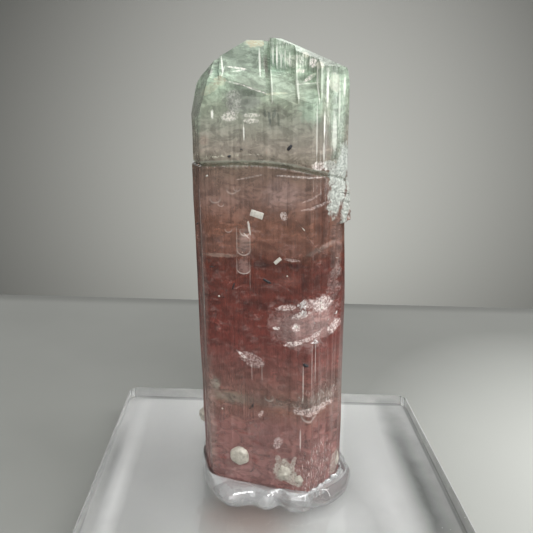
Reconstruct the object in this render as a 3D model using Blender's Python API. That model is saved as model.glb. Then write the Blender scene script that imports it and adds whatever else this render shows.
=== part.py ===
"""Watermelon tourmaline crystal, held upright by clear gel on a square acrylic slab."""

from math import atan2, cos, pi, radians, sin, tan

import bmesh
import bpy
from mathutils import Matrix, Vector, noise

MM = 0.001
GAP = 0.3 * MM                      # clearance kept between touching pieces

# Acrylic slab, standing on z = 0 with the origin under its middle
SLAB_SIDE = 76.2 * MM
SLAB_THICKNESS = 8.0 * MM
SLAB_CORNER_RADIUS = 2.6 * MM
SLAB_EDGE_ROUND = 0.5 * MM
SLAB_CORNER_STEPS = 6
SLAB_EDGE_STEPS = 2

# Crystal: its own axis starts at AXIS_FOOT on the slab's top and leans to the left
AXIS_FOOT = Vector((0.1 * MM, 3.8 * MM, SLAB_THICKNESS))
CRYSTAL_LEAN = radians(-3.5)
FOOT_LEVEL = 1.2 * MM
CRYSTAL_BLANK_TOP = 93.0 * MM       # the blank is longer than the crystal: its top is cut to shape

# Six prism faces: direction that each faces, in degrees, and its distance from the axis
PRISM_FACES = (
    (-106, 11.6 * MM),
    (-46, 13.9 * MM),
    (14, 11.3 * MM),
    (74, 13.7 * MM),
    (134, 11.0 * MM),
    (194, 14.7 * MM),
)
EDGE_SHARPNESS = 24                 # higher values give sharper prism edges
WIDENING = 0.21                     # the prism widens upwards by this share for each metre
CRYSTAL_COLUMNS = 132

# Lengthwise ridges: direction in degrees, half width in degrees, height
FRONT_RIDGES = (
    (-171, 4, 0.22 * MM),
    (-160, 4, 0.26 * MM),
    (-149, 4, 0.16 * MM),
    (-97, 4, 0.10 * MM),
    (-78, 4, 0.16 * MM),
    (-66, 4, 0.34 * MM),
    (-58, 4, 0.36 * MM),
    (-50, 4, 0.30 * MM),
    (-42, 4, 0.36 * MM),
    (-33, 4, 0.30 * MM),
    (-23, 4, 0.34 * MM),
)
SIDE_RIDGE_START = -12
SIDE_RIDGE_STEP = 9
SIDE_RIDGE_COUNT = 21
SIDE_RIDGE_HEIGHTS = (0.34 * MM, 0.18 * MM, 0.28 * MM, 0.12 * MM, 0.36 * MM)

# Cross crack: a thin groove round the crystal, above which the crystal is a little slimmer
CRACK_LEVEL = 67.5 * MM
CRACK_MIDDLE_X = -4.0 * MM
CRACK_FALL_LEFT = 5.0               # drop of the crack for each square metre of offset from its middle
CRACK_FALL_RIGHT = 13.0
CRACK_REACH = 7.0 * MM
CRACK_DEPTH = 0.55 * MM
UPPER_SET_IN = 0.28 * MM

# Rough growth patch standing proud of the right front edge, ending in a ledge above a hollow
PATCH_DIRECTION = -24
PATCH_HALF_WIDTH = 24
PATCH_FOOT = 56.0 * MM
PATCH_HEAD = 72.0 * MM
PATCH_HEIGHT = 0.7 * MM
PATCH_UNEVENNESS = 0.6
LEDGE_HEIGHT = 0.6 * MM
HOLLOW_FOOT = 40.0 * MM
HOLLOW_DEPTH = 0.45 * MM

# Ragged foot
FOOT_RAGGED_HEIGHT = 5.0 * MM
FOOT_RAGGED_DEPTH = 0.7 * MM

# Top facets that cut the whole crystal: direction, slope in degrees, height where they meet the axis
TOP_FACETS = (
    (-60, 2.0, 88.0 * MM),
    (14, 26.2, 87.9 * MM),
    (-46, 27.0, 90.2 * MM),
    (172, 37.0, 91.4 * MM),
    (196, 59.0, 103.1 * MM),
    (194, 75.0, 131.6 * MM),
    (5, 72.0, 119.6 * MM),
    (134, 30.0, 90.5 * MM),
    (74, 38.0, 93.0 * MM),
)
# Front facet, cut in blocks that step back from each other
FRONT_FACET_DIRECTION = -78.5
FRONT_FACET_SLOPE = 37.9
FRONT_FACET_LEVEL = 87.6 * MM
# Each block: name, left and right limit, how far back it reaches, and how far it is sunk below the facet
FRONT_BLOCKS = (
    ("groove", -1.5 * MM, -0.6 * MM, 2.0 * MM, 1.3 * MM),
    ("middle_facet", -20.0 * MM, -1.4 * MM, 8.0 * MM, 0.0 * MM),
    ("left_step", -20.0 * MM, -9.2 * MM, 8.0 * MM, 1.0 * MM),
    ("right_terrace", -0.7 * MM, 3.6 * MM, -6.4 * MM, 0.0 * MM),
    ("right_shelf", 3.5 * MM, 7.4 * MM, -9.2 * MM, -0.9 * MM),
)
BLOCK_FRONT = -30.0 * MM
BLOCK_TOP = 98.0 * MM

# Small crystals and lumps grown on the crystal
HEXAGON_PLACE = Vector((-7.4, -9.9, 9.4)) * MM
HEXAGON_RADIUS = 2.3 * MM
HEXAGON_TIP_RADIUS = 2.0 * MM
HEXAGON_DEPTH = 1.8 * MM
HEXAGON_FACES = -106
# Lumps: place in millimetres on the crystal, half sizes in millimetres
LUMPS = (
    ((-14.8, -0.6, 13.7), (1.2, 1.3, 1.5)),
    ((2.0, -12.1, 7.2), (1.9, 0.9, 1.9)),
    ((4.3, -12.6, 6.2), (1.2, 0.9, 1.4)),
    ((11.7, -7.0, 6.9), (1.1, 1.1, 2.1)),
    ((11.6, 2.6, 7.4), (0.9, 1.4, 1.7)),
    ((-3.0, 11.2, 8.0), (2.2, 1.3, 2.2)),
    ((-10.3, 5.9, 31.0), (1.2, 1.3, 1.9)),
    ((8.6, 10.6, 46.0), (1.3, 1.2, 1.5)),
)

LUMP_UNEVENNESS = 0.22
LUMP_GRAIN = 1.3 * MM

# Gel bead: outline of its widest level about the crystal's axis: direction in degrees, radius
GEL_OUTLINE = (
    (7, 14.6 * MM),
    (30, 15.2 * MM),
    (46, 16.9 * MM),
    (62, 16.2 * MM),
    (88, 17.4 * MM),
    (106, 16.9 * MM),
    (122, 14.6 * MM),
    (138, 14.0 * MM),
    (158, 16.9 * MM),
    (176, 16.0 * MM),
    (190, 15.9 * MM),
    (213, 16.8 * MM),
    (235, 18.1 * MM),
    (251, 15.4 * MM),
    (261, 15.9 * MM),
    (272, 13.9 * MM),
    (283, 17.0 * MM),
    (292, 15.3 * MM),
    (308, 17.0 * MM),
    (324, 17.0 * MM),
    (339, 16.6 * MM),
    (353, 15.3 * MM),
)
# Gel profile: share of the way from the lip to the outline, and height above the slab
GEL_PROFILE = (
    (0.60, 0.3 * MM),
    (0.86, 0.7 * MM),
    (1.00, 1.9 * MM),
    (0.93, 3.0 * MM),
    (0.70, 3.9 * MM),
    (0.40, 4.2 * MM),
    (0.00, 3.8 * MM),
)
GEL_LIP_WIDTH = 0.8 * MM            # from the plain prism out to the lip
GEL_POCKET_LEVELS = (3.6 * MM, 3.0 * MM, FOOT_LEVEL - GAP)
GEL_COLUMNS = 120


def clear_scene():
    for obj in list(bpy.data.objects):
        bpy.data.objects.remove(obj, do_unlink=True)


def make_material(name, colour, roughness, transmission, ior):
    material = bpy.data.materials.new(name)
    material.use_nodes = True
    shader = material.node_tree.nodes["Principled BSDF"]
    shader.inputs["Base Color"].default_value = (*colour, 1.0)
    shader.inputs["Roughness"].default_value = roughness
    shader.inputs["Metallic"].default_value = 0.0
    shader.inputs["Transmission Weight"].default_value = transmission
    shader.inputs["IOR"].default_value = ior
    material.diffuse_color = (*colour, 1.0)
    return material


def add_object(name, bm, material=None, smooth_angle=None):
    """Turn a bmesh into a named object in the scene."""
    bmesh.ops.recalc_face_normals(bm, faces=bm.faces[:])
    mesh = bpy.data.meshes.new(name)
    bm.to_mesh(mesh)
    bm.free()
    if smooth_angle is not None:
        mesh.shade_smooth()
        mesh.set_sharp_from_angle(angle=smooth_angle)
    obj = bpy.data.objects.new(name, mesh)
    bpy.context.scene.collection.objects.link(obj)
    if material is not None:
        mesh.materials.append(material)
    return obj


def as_tool(obj):
    """Mark an object as a cutter or a shape to be joined, which isn't a piece itself."""
    obj.hide_render = True
    obj.display_type = "WIRE"
    return obj


def place_on_axis(obj):
    obj.location = AXIS_FOOT
    obj.rotation_euler = (0.0, CRYSTAL_LEAN, 0.0)
    return obj


def combine(obj, tool, operation):
    modifier = obj.modifiers.new(tool.name, "BOOLEAN")
    modifier.operation = operation
    modifier.solver = "EXACT"
    modifier.object = tool


def fade(value):
    """1 at zero, falling smoothly to 0 at plus or minus one."""
    return max(0.0, 1.0 - value * value) ** 2


def ramp(value):
    """0 below zero, 1 above one, smooth between them."""
    value = min(1.0, max(0.0, value))
    return value * value * (3.0 - 2.0 * value)


def angle_between(first, second):
    return (first - second + 180.0) % 360.0 - 180.0


def direction(angle):
    return Vector((cos(radians(angle)), sin(radians(angle)), 0.0))


def prism_radius(angle):
    """Distance from the axis to the plain prism, its edges rounded."""
    total = 0.0
    for face_angle, distance in PRISM_FACES:
        facing = cos(radians(angle - face_angle)) / distance
        if facing > 0.0:
            total += facing ** EDGE_SHARPNESS
    return total ** (-1.0 / EDGE_SHARPNESS)


def all_ridges():
    ridges = list(FRONT_RIDGES)
    for index in range(SIDE_RIDGE_COUNT):
        height = SIDE_RIDGE_HEIGHTS[index % len(SIDE_RIDGE_HEIGHTS)]
        ridges.append((SIDE_RIDGE_START + index * SIDE_RIDGE_STEP, 4, height))
    return ridges


RIDGES = all_ridges()


def ridge_height(angle):
    return max(height * fade(angle_between(angle, middle) / half_width)
               for middle, half_width, height in RIDGES)


def crack_level(x):
    offset = x - CRACK_MIDDLE_X
    fall = CRACK_FALL_RIGHT if offset > 0.0 else CRACK_FALL_LEFT
    return CRACK_LEVEL - fall * offset * offset


def crystal_point(angle, level, set_in=0.0, grown=0.0):
    """Point of the crystal's side at a level: set_in sinks a groove, grown adds a clearance."""
    radius = prism_radius(angle) * (1.0 + WIDENING * level)
    x = radius * cos(radians(angle))
    height = level + (crack_level(x) - CRACK_LEVEL) * fade((level - CRACK_LEVEL) / CRACK_REACH)
    radius += ridge_height(angle)
    radius -= UPPER_SET_IN * ramp((level - CRACK_LEVEL) / (0.5 * MM))
    across = fade(angle_between(angle, PATCH_DIRECTION) / PATCH_HALF_WIDTH)
    over_ledge = ramp((level - PATCH_FOOT) / LEDGE_HEIGHT)
    above = over_ledge * (1.0 - ramp((level - PATCH_FOOT) / (PATCH_HEAD - PATCH_FOOT)))
    below = (1.0 - over_ledge) * ramp((level - HOLLOW_FOOT) / (PATCH_FOOT - HOLLOW_FOOT))
    place = Vector((radius * cos(radians(angle)), radius * sin(radians(angle)), level)) / MM
    radius += PATCH_HEIGHT * across * above * (0.8 + PATCH_UNEVENNESS * noise.noise(place))
    radius -= HOLLOW_DEPTH * across * below
    ragged = 1.0 - ramp((level - FOOT_LEVEL) / FOOT_RAGGED_HEIGHT)
    radius -= FOOT_RAGGED_DEPTH * ragged * (0.5 + 0.5 * noise.noise(place * 0.6))
    radius += grown - set_in
    return Vector((radius * cos(radians(angle)), radius * sin(radians(angle)), height))


def stacked_rings(columns, ring_points):
    """A closed solid through a stack of rings: each is extruded from the ring below it."""
    bm = bmesh.new()
    column = bm.verts.layers.int.new("column")
    verts = bmesh.ops.create_circle(bm, cap_ends=False, segments=columns, radius=1.0)["verts"]
    for vert in verts:
        turn = atan2(vert.co.y, vert.co.x) / (2.0 * pi) * columns
        vert[column] = round(turn) % columns
    edges = bm.edges[:]
    first_edges = edges
    for number, point_at in enumerate(ring_points):
        if number > 0:
            made = bmesh.ops.extrude_edge_only(bm, edges=edges)["geom"]
            verts = [item for item in made if isinstance(item, bmesh.types.BMVert)]
            edges = [item for item in made if isinstance(item, bmesh.types.BMEdge)]
        for vert in verts:
            vert.co = point_at(360.0 * vert[column] / columns)
    bmesh.ops.contextual_create(bm, geom=first_edges)
    bmesh.ops.contextual_create(bm, geom=edges)
    return bm


def crystal_rings():
    """Levels of the crystal's side, closer together at the foot, the patch and the crack."""
    levels = [FOOT_LEVEL, 3.0 * MM, 5.0 * MM, 8.0 * MM, 24.0 * MM, HOLLOW_FOOT, 48.0 * MM]
    levels += [PATCH_FOOT, PATCH_FOOT + LEDGE_HEIGHT, 58.6 * MM, 60.4 * MM, 62.2 * MM, 64.2 * MM]
    rings = [(level, 0.0) for level in levels]
    rings.append((CRACK_LEVEL - 0.5 * MM, 0.0))
    rings.append((CRACK_LEVEL, CRACK_DEPTH))
    rings.append((CRACK_LEVEL + 0.5 * MM, 0.0))
    rings += [(69.8 * MM, 0.0), (PATCH_HEAD, 0.0), (CRYSTAL_BLANK_TOP, 0.0)]
    return [lambda angle, at=level, sunk=set_in: crystal_point(angle, at, set_in=sunk)
            for level, set_in in rings]


def facet_height(x, y, facing, slope, level):
    along = x * cos(radians(facing)) + y * sin(radians(facing))
    return level - tan(radians(slope)) * along


def cut_top_facets(bm):
    """Each facet slices the blank's top off along a plane and closes the cut with one flat face."""
    for facing, slope, level in TOP_FACETS:
        normal = direction(facing) * sin(radians(slope)) + Vector((0.0, 0.0, cos(radians(slope))))
        geometry = bm.verts[:] + bm.edges[:] + bm.faces[:]
        cut = bmesh.ops.bisect_plane(bm, geom=geometry, plane_co=Vector((0.0, 0.0, level)),
                                     plane_no=normal, dist=1e-7, clear_outer=True)["geom_cut"]
        rim = [item for item in cut if isinstance(item, bmesh.types.BMEdge)]
        if rim:
            bmesh.ops.contextual_create(bm, geom=rim)


def front_block(name, left, right, back, sunk):
    """A block standing on the front facet's plane, to be cut out of the crystal's top."""
    bm = bmesh.new()
    bmesh.ops.create_cube(bm, size=2.0)
    for vert in bm.verts:
        x = right if vert.co.x > 0.0 else left
        y = back if vert.co.y > 0.0 else BLOCK_FRONT
        floor = facet_height(x, y, FRONT_FACET_DIRECTION, FRONT_FACET_SLOPE, FRONT_FACET_LEVEL) - sunk
        vert.co = Vector((x, y, BLOCK_TOP if vert.co.z > 0.0 else floor))
    return place_on_axis(as_tool(add_object(name + "_cutter", bm)))


def grown_crystals():
    """The hexagonal crystal and the lumps, as one shape to be joined to the crystal."""
    bm = bmesh.new()
    facing = direction(HEXAGON_FACES)
    turn = facing.to_track_quat("Z", "Y").to_matrix().to_4x4()
    bmesh.ops.create_cone(bm, cap_ends=True, segments=6, radius1=HEXAGON_RADIUS, radius2=HEXAGON_TIP_RADIUS,
                          depth=HEXAGON_DEPTH, matrix=Matrix.Translation(HEXAGON_PLACE) @ turn)
    for place, half_size in LUMPS:
        size = Matrix.Diagonal((*(Vector(half_size) * MM), 1.0))
        lump = bmesh.ops.create_icosphere(bm, subdivisions=2, radius=1.0,
                                          matrix=Matrix.Translation(Vector(place) * MM) @ size)["verts"]
        middle = Vector(place) * MM
        for vert in lump:
            swelling = 1.0 + LUMP_UNEVENNESS * noise.noise(vert.co / LUMP_GRAIN)
            vert.co = middle + (vert.co - middle) * swelling
    return place_on_axis(as_tool(add_object("grown_crystals_shape", bm)))


def build_crystal(material):
    bm = stacked_rings(CRYSTAL_COLUMNS, crystal_rings())
    cut_top_facets(bm)
    crystal = place_on_axis(add_object("tourmaline_crystal", bm, material, radians(20)))
    for block in FRONT_BLOCKS:
        combine(crystal, front_block(*block), "DIFFERENCE")
    combine(crystal, grown_crystals(), "UNION")
    return crystal


def gel_outline_radius(angle):
    """Radius of the bead's widest level, eased from one outline point to the next."""
    angle %= 360.0
    points = [(GEL_OUTLINE[-1][0] - 360.0, GEL_OUTLINE[-1][1]), *GEL_OUTLINE]
    points.append((GEL_OUTLINE[0][0] + 360.0, GEL_OUTLINE[0][1]))
    for (start, start_radius), (end, end_radius) in zip(points, points[1:]):
        if start <= angle <= end:
            return start_radius + (end_radius - start_radius) * ramp((angle - start) / (end - start))
    return points[0][1]


def gel_point(angle, share, height):
    lip = prism_radius(angle) + GEL_LIP_WIDTH
    radius = lip + share * (gel_outline_radius(angle) - lip)
    return Vector((radius * cos(radians(angle)), radius * sin(radians(angle)), height))


def pocket_point(angle, level):
    """Point of the pocket's wall: the leaning crystal's side, a gap further out."""
    return Matrix.Rotation(CRYSTAL_LEAN, 3, "Y") @ crystal_point(angle, level, grown=GAP)


def build_gel(material):
    """One wall of rings: up the outside of the bead, over its lip and down into the pocket."""
    rings = [lambda angle, out=share, height=level: gel_point(angle, out, height)
             for share, level in GEL_PROFILE]
    rings += [lambda angle, at=level: pocket_point(angle, at) for level in GEL_POCKET_LEVELS]
    gel = add_object("mounting_putty", stacked_rings(GEL_COLUMNS, rings), material, radians(40))
    gel.location = AXIS_FOOT
    return gel


def build_slab(material):
    bm = bmesh.new()
    bmesh.ops.create_cube(bm, size=1.0)
    bmesh.ops.scale(bm, vec=Vector((SLAB_SIDE, SLAB_SIDE, SLAB_THICKNESS)), verts=bm.verts[:])
    upright = [edge for edge in bm.edges
               if abs(edge.verts[0].co.z - edge.verts[1].co.z) > SLAB_THICKNESS / 2.0]
    bmesh.ops.bevel(bm, geom=upright, affect="EDGES", offset=SLAB_CORNER_RADIUS,
                    segments=SLAB_CORNER_STEPS, profile=0.5, material=-1)
    rims = [edge for edge in bm.edges if abs(edge.verts[0].co.z - edge.verts[1].co.z) < 1e-6]
    bmesh.ops.bevel(bm, geom=rims, affect="EDGES", offset=SLAB_EDGE_ROUND,
                    segments=SLAB_EDGE_STEPS, profile=0.5, material=-1)
    slab = add_object("acrylic_base", bm, material, radians(35))
    slab.location = (0.0, 0.0, SLAB_THICKNESS / 2.0)
    return slab


def main():
    clear_scene()
    build_slab(make_material("clear_acrylic", (0.86, 0.88, 0.87), 0.05, 0.95, 1.49))
    build_gel(make_material("clear_gel", (0.80, 0.81, 0.80), 0.25, 0.85, 1.45))
    build_crystal(make_material("pink_green_tourmaline", (0.52, 0.25, 0.22), 0.12, 0.85, 1.63))


main()
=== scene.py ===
"""Watermelon tourmaline crystal in clear gel on an acrylic slab: surfaces, finishes, light and camera."""

from functools import partial, reduce
from math import atan2, cos, pi, radians, sin, tan
from random import Random

import bmesh
import bpy
from mathutils import Matrix, Vector, noise


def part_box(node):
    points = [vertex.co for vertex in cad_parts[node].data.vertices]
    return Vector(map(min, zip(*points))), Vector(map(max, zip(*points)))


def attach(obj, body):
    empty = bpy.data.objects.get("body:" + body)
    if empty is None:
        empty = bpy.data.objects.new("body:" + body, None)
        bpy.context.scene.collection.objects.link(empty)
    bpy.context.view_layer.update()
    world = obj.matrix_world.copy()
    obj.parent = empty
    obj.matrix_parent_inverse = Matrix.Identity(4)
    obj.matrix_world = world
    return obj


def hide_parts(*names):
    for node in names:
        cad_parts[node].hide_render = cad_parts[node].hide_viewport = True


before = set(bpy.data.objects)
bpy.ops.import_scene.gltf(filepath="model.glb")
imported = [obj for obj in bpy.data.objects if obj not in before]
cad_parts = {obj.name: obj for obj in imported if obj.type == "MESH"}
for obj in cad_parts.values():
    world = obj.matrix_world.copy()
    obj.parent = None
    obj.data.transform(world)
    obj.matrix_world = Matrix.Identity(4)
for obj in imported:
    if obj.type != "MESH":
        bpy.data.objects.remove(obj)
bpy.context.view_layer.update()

MM = 0.001

# Camera: place in the row frame, and the way it looks
FRAME_PIXELS = 533
FOCAL_PIXELS = 580
SENSOR_WIDTH = 36.0
CAMERA_PLACE = Vector((-9.06, -106.88, 85.82)) * MM
CAMERA_PITCH = radians(16.13)
CAMERA_YAW = radians(2.55)
CAMERA_ROLL = radians(3.02)

# Acrylic slab
SLAB_HALF = 38.1 * MM
SLAB_CORNER_RADIUS = 2.6 * MM
SLAB_EDGE_ROUND = 0.5 * MM
SLAB_CORNER_STEPS = 24
SLAB_EDGE_STEPS = 6

# Crystal: its own axis starts at AXIS_FOOT on the slab's top and leans to the left
AXIS_FOOT = Vector((0.1, 3.8, 8.0)) * MM
CRYSTAL_LEAN = radians(-3.5)
CRYSTAL_PLACE = Matrix.Translation(AXIS_FOOT) @ Matrix.Rotation(CRYSTAL_LEAN, 4, "Y")
FOOT_LEVEL = 1.2 * MM
CRYSTAL_BLANK_TOP = 93.0 * MM
CRYSTAL_COLUMNS = 480

# Six prism faces: direction that each faces, in degrees, and its distance from the axis
PRISM_FACES = [(facing, distance * MM) for facing, distance in (
    (-106, 11.6), (-46, 13.9), (14, 11.3), (74, 13.7), (134, 11.0), (194, 14.7))]
EDGE_SHARPNESS = 24
WIDENING = 0.21

# Lengthwise ridges: direction in degrees and height. Those of the front are placed one by one
RIDGE_HALF_WIDTH = 4
FRONT_RIDGES = [(facing, height * MM) for facing, height in (
    (-171, 0.22), (-160, 0.26), (-149, 0.16), (-97, 0.10), (-78, 0.16), (-66, 0.34), (-58, 0.36),
    (-50, 0.30), (-42, 0.36), (-33, 0.30), (-23, 0.34))]
SIDE_RIDGE_START = -12
SIDE_RIDGE_STEP = 9
SIDE_RIDGE_COUNT = 21
SIDE_RIDGE_HEIGHTS = (0.34, 0.18, 0.28, 0.12, 0.36)
SIDE_RIDGES = [(SIDE_RIDGE_START + number * SIDE_RIDGE_STEP,
                SIDE_RIDGE_HEIGHTS[number % len(SIDE_RIDGE_HEIGHTS)] * MM)
               for number in range(SIDE_RIDGE_COUNT)]

# Fine lengthwise striations: height on the broad front face and on the other faces
STRIATION_FRONT = 0.05 * MM
STRIATION_SIDE = 0.13 * MM
STRIATION_LENGTH = 16.0 * MM
STRIATIONS_AROUND = 24.0
WAVE_HEIGHT = 0.05 * MM

# Cross crack
CRACK_LEVEL = 67.5 * MM
CRACK_MIDDLE_X = -4.0 * MM
CRACK_FALL_LEFT = 5.0
CRACK_FALL_RIGHT = 13.0
CRACK_REACH = 7.0 * MM
CRACK_DEPTH = 0.55 * MM
CRACK_HALF_WIDTH = 0.45 * MM
UPPER_SET_IN = 0.28 * MM
UPPER_SET_IN_OVER = 0.5 * MM

# Rough growth patch on the right front edge, its ledge and the hollow below
PATCH_DIRECTION = -24
PATCH_HALF_WIDTH = 24
PATCH_FOOT = 56.0 * MM
PATCH_HEAD = 72.0 * MM
PATCH_HEIGHT = 0.7 * MM
PATCH_UNEVENNESS = 0.6
PATCH_GRAIN = 0.30 * MM
LEDGE_HEIGHT = 0.6 * MM
HOLLOW_FOOT = 40.0 * MM
HOLLOW_DEPTH = 0.45 * MM

# Ragged foot
FOOT_RAGGED_HEIGHT = 5.0 * MM
FOOT_RAGGED_DEPTH = 0.7 * MM
FOOT_GRAIN = 0.22 * MM

# Rings of the crystal's side: bands of evenly spaced ones with their count, and those at the
# crack, in millimetres above or below it
LOWEST_BAND_TOP = 6.5 * MM
MIDDLE_BAND_TOP = 52.0 * MM
RING_BANDS = (
    (FOOT_LEVEL, LOWEST_BAND_TOP, 18),
    (LOWEST_BAND_TOP, MIDDLE_BAND_TOP, 30),
    (MIDDLE_BAND_TOP, CRACK_LEVEL - 0.9 * MM, 36),
    (CRACK_LEVEL + 1.2 * MM, PATCH_HEAD, 12),
    (PATCH_HEAD, CRYSTAL_BLANK_TOP, 18),
)
RINGS_FROM_CRACK = (-0.9, -0.6, -0.35, -0.18, -0.06, 0.06, 0.18, 0.35, 0.6, 0.9)

# Top facets that cut the whole crystal: direction, slope in degrees, height where they meet the axis
TOP_FACETS = [(facing, slope, level * MM) for facing, slope, level in (
    (-60, 2.0, 88.0), (14, 26.2, 87.9), (-46, 27.0, 90.2), (172, 37.0, 91.4), (196, 59.0, 103.1),
    (194, 75.0, 129.6), (5, 72.0, 119.6), (134, 30.0, 90.5), (74, 38.0, 93.0))]
FRONT_FACET_DIRECTION = -78.5
FRONT_FACET_SLOPE = 37.9
FRONT_FACET_LEVEL = 87.6 * MM
# Blocks cut from the front facet, in millimetres: left and right limit, back limit, sunk below the
# facet, and how deep the back wall is striated
FRONT_BLOCKS = {
    "groove": (-1.5, -0.6, 2.0, 1.3, 0.10),
    "middle_facet": (-20.0, -1.4, 8.0, 0.0, 0.0),
    "left_step": (-20.0, -9.2, 8.0, 1.0, 0.0),
    "right_terrace": (-0.7, 3.6, -6.4, 0.0, 0.34),
    "right_shelf": (3.5, 7.4, -9.2, -0.9, 0.30),
}
FRONT_EDGE_X = 5.7                  # the two front faces meet here, in millimetres
BLOCK_FRONT = -30.0 * MM
BLOCK_TOP = 98.0 * MM
BLOCK_STRIPS = 40

# Small crystals and lumps grown on the crystal; lumps have a place and half sizes in millimetres
HEXAGON_PLACE = Vector((-7.4, -9.9, 9.8)) * MM
HEXAGON_RADIUS = 2.3 * MM
HEXAGON_TIP_RADIUS = 2.0 * MM
HEXAGON_DEPTH = 1.8 * MM
HEXAGON_FACES = -106
HEXAGON_EDGE = 0.45 * MM
HEXAGON_UNEVENNESS = 0.13 * MM
HEXAGON_LONGEST_EDGE = 0.3 * MM
LUMPS = (
    ((-14.8, -0.6, 13.7), (1.2, 1.3, 1.5)), ((2.0, -12.1, 7.2), (1.9, 0.9, 1.9)),
    ((4.3, -12.6, 6.2), (1.2, 0.9, 1.4)), ((11.7, -7.0, 6.9), (1.1, 1.1, 2.1)),
    ((11.6, 2.6, 7.4), (0.9, 1.4, 1.7)), ((-3.0, 11.2, 8.0), (2.2, 1.3, 2.2)),
    ((-10.3, 5.9, 31.0), (1.2, 1.3, 1.9)), ((8.6, 10.6, 46.0), (1.3, 1.2, 1.5)),
)
LUMP_BULGE = 0.20
LUMP_BULGE_WIDTH = 1.3 * MM
LUMP_CRUST = 0.22
LUMP_CRUST_WIDTH = 0.6 * MM
LUMP_CRUST_SUNK = 0.10
LUMP_LARGEST = 1.14

# Gel bead: its outline by direction in degrees, and its profile from the outer foot over the top,
# as the share of the way out from the crystal and the height
GEL_OUTLINE = [(facing, radius * MM) for facing, radius in (
    (7, 14.6), (30, 15.2), (46, 16.9), (62, 16.2), (88, 17.4), (106, 16.9), (122, 14.6), (138, 14.0),
    (158, 16.9), (176, 16.0), (190, 15.9), (213, 16.8), (235, 18.1), (251, 15.4), (261, 15.9),
    (272, 13.9), (279, 16.2), (286, 16.7), (296, 15.5), (308, 17.0), (324, 17.0), (339, 16.6),
    (353, 15.3))]
GEL_PROFILE = [Vector((share, height * MM)) for share, height in (
    (0.60, 0.3), (0.86, 0.7), (1.00, 1.9), (0.93, 3.0), (0.70, 3.9), (0.40, 4.2), (0.00, 3.8))]
GEL_LIP_WIDTH = 0.8 * MM
GEL_GAP = 0.3 * MM
GEL_UNEVEN_WIDTH = 0.10 * MM
GEL_UNEVEN_HEIGHT = 0.16 * MM
GEL_LOWEST = 0.1 * MM
GEL_COLUMNS = 360
GEL_PROFILE_STEPS = 6
POCKET_TOP = 3.6 * MM
POCKET_RINGS = 5


# ---------------------------------------------------------------- shader expressions

# Numbers of the Mix node's colour sockets
MIX_FIRST = 6
MIX_SECOND = 7
MIX_RESULT = 2


class Value:
    """A socket of a finish's node tree; arithmetic on it adds Math nodes."""

    def __init__(self, finish, socket):
        self.finish = finish
        self.socket = socket

    def maths(self, operation, *values):
        return self.finish.node("ShaderNodeMath", {"operation": operation}, dict(enumerate(values)))

    def vector_maths(self, operation, *values, output="Vector"):
        settings = {"operation": operation}
        return self.finish.node("ShaderNodeVectorMath", settings, dict(enumerate((self, *values))), output)

    def __add__(self, other):
        return self.maths("ADD", self, other)

    __radd__ = __add__

    def __sub__(self, other):
        return self.maths("SUBTRACT", self, other)

    def __rsub__(self, other):
        return self.maths("SUBTRACT", other, self)

    def __mul__(self, other):
        return self.maths("MULTIPLY", self, other)

    __rmul__ = __mul__

    def __truediv__(self, other):
        return self.maths("DIVIDE", self, other)

    def highest(self, other):
        return self.maths("MAXIMUM", self, other)

    def lowest(self, other):
        return self.maths("MINIMUM", self, other)

    def size(self):
        return self.maths("ABSOLUTE", self)

    def clamped(self):
        return self.finish.node("ShaderNodeClamp", {}, {"Value": self})

    def rise(self, low, high):
        """0 below low, 1 above high and smooth between them; falls instead where high is below low."""
        falls = high < low
        return self.finish.node("ShaderNodeMapRange", {"interpolation_type": "SMOOTHSTEP"},
                                {"Value": self, "From Min": min(low, high), "From Max": max(low, high),
                                 "To Min": float(falls), "To Max": float(not falls)})

    def swing(self, amount):
        """A grain about 0.5 made to swing about 0."""
        return (self - 0.5) * amount

    def ramp(self, *stops):
        return self.finish.node("ShaderNodeValToRGB", {"stops": stops}, {"Fac": self}, "Color")

    def grey(self):
        return self.finish.node("ShaderNodeCombineColor", {}, {"Red": self, "Green": self, "Blue": self})

    def relief(self, strength, distance):
        return self.finish.node("ShaderNodeBump", {},
                                {"Height": self, "Strength": strength, "Distance": distance})

    def moved(self, by):
        return self.vector_maths("ADD", by)

    def stretched(self, *scale):
        return self.vector_maths("MULTIPLY", scale)

    def length(self):
        return self.vector_maths("LENGTH", output="Value")

    def axis(self, name):
        return self.finish.node("ShaderNodeSeparateXYZ", {}, {0: self}, name)

    def turned(self, angle):
        return self.finish.node("ShaderNodeVectorRotate", {"rotation_type": "Y_AXIS"},
                                {"Vector": self, "Angle": angle})

    def grain(self, scale, detail, roughness=0.5, distortion=0.0):
        return self.finish.node("ShaderNodeTexNoise", {},
                                {"Vector": self, "Scale": scale, "Detail": detail,
                                 "Roughness": roughness, "Distortion": distortion}, "Fac")

    def cells(self, scale, feature="F1"):
        return self.finish.node("ShaderNodeTexVoronoi", {"feature": feature},
                                {"Vector": self, "Scale": scale}, "Distance")

    def covered(self, raggedness, edge):
        """0 at the border, where the distance is 1, and 1 an edge's width inside it."""
        return (1.0 - (self.length() + raggedness)) * (1.0 / edge)

    def spot(self, middle, half_size, raggedness, edge):
        """1 inside an ellipsoid about middle, 0 outside."""
        local = self.moved([-part for part in middle])
        return local.stretched(*(1.0 / part for part in half_size)).covered(raggedness, edge).clamped()


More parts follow.
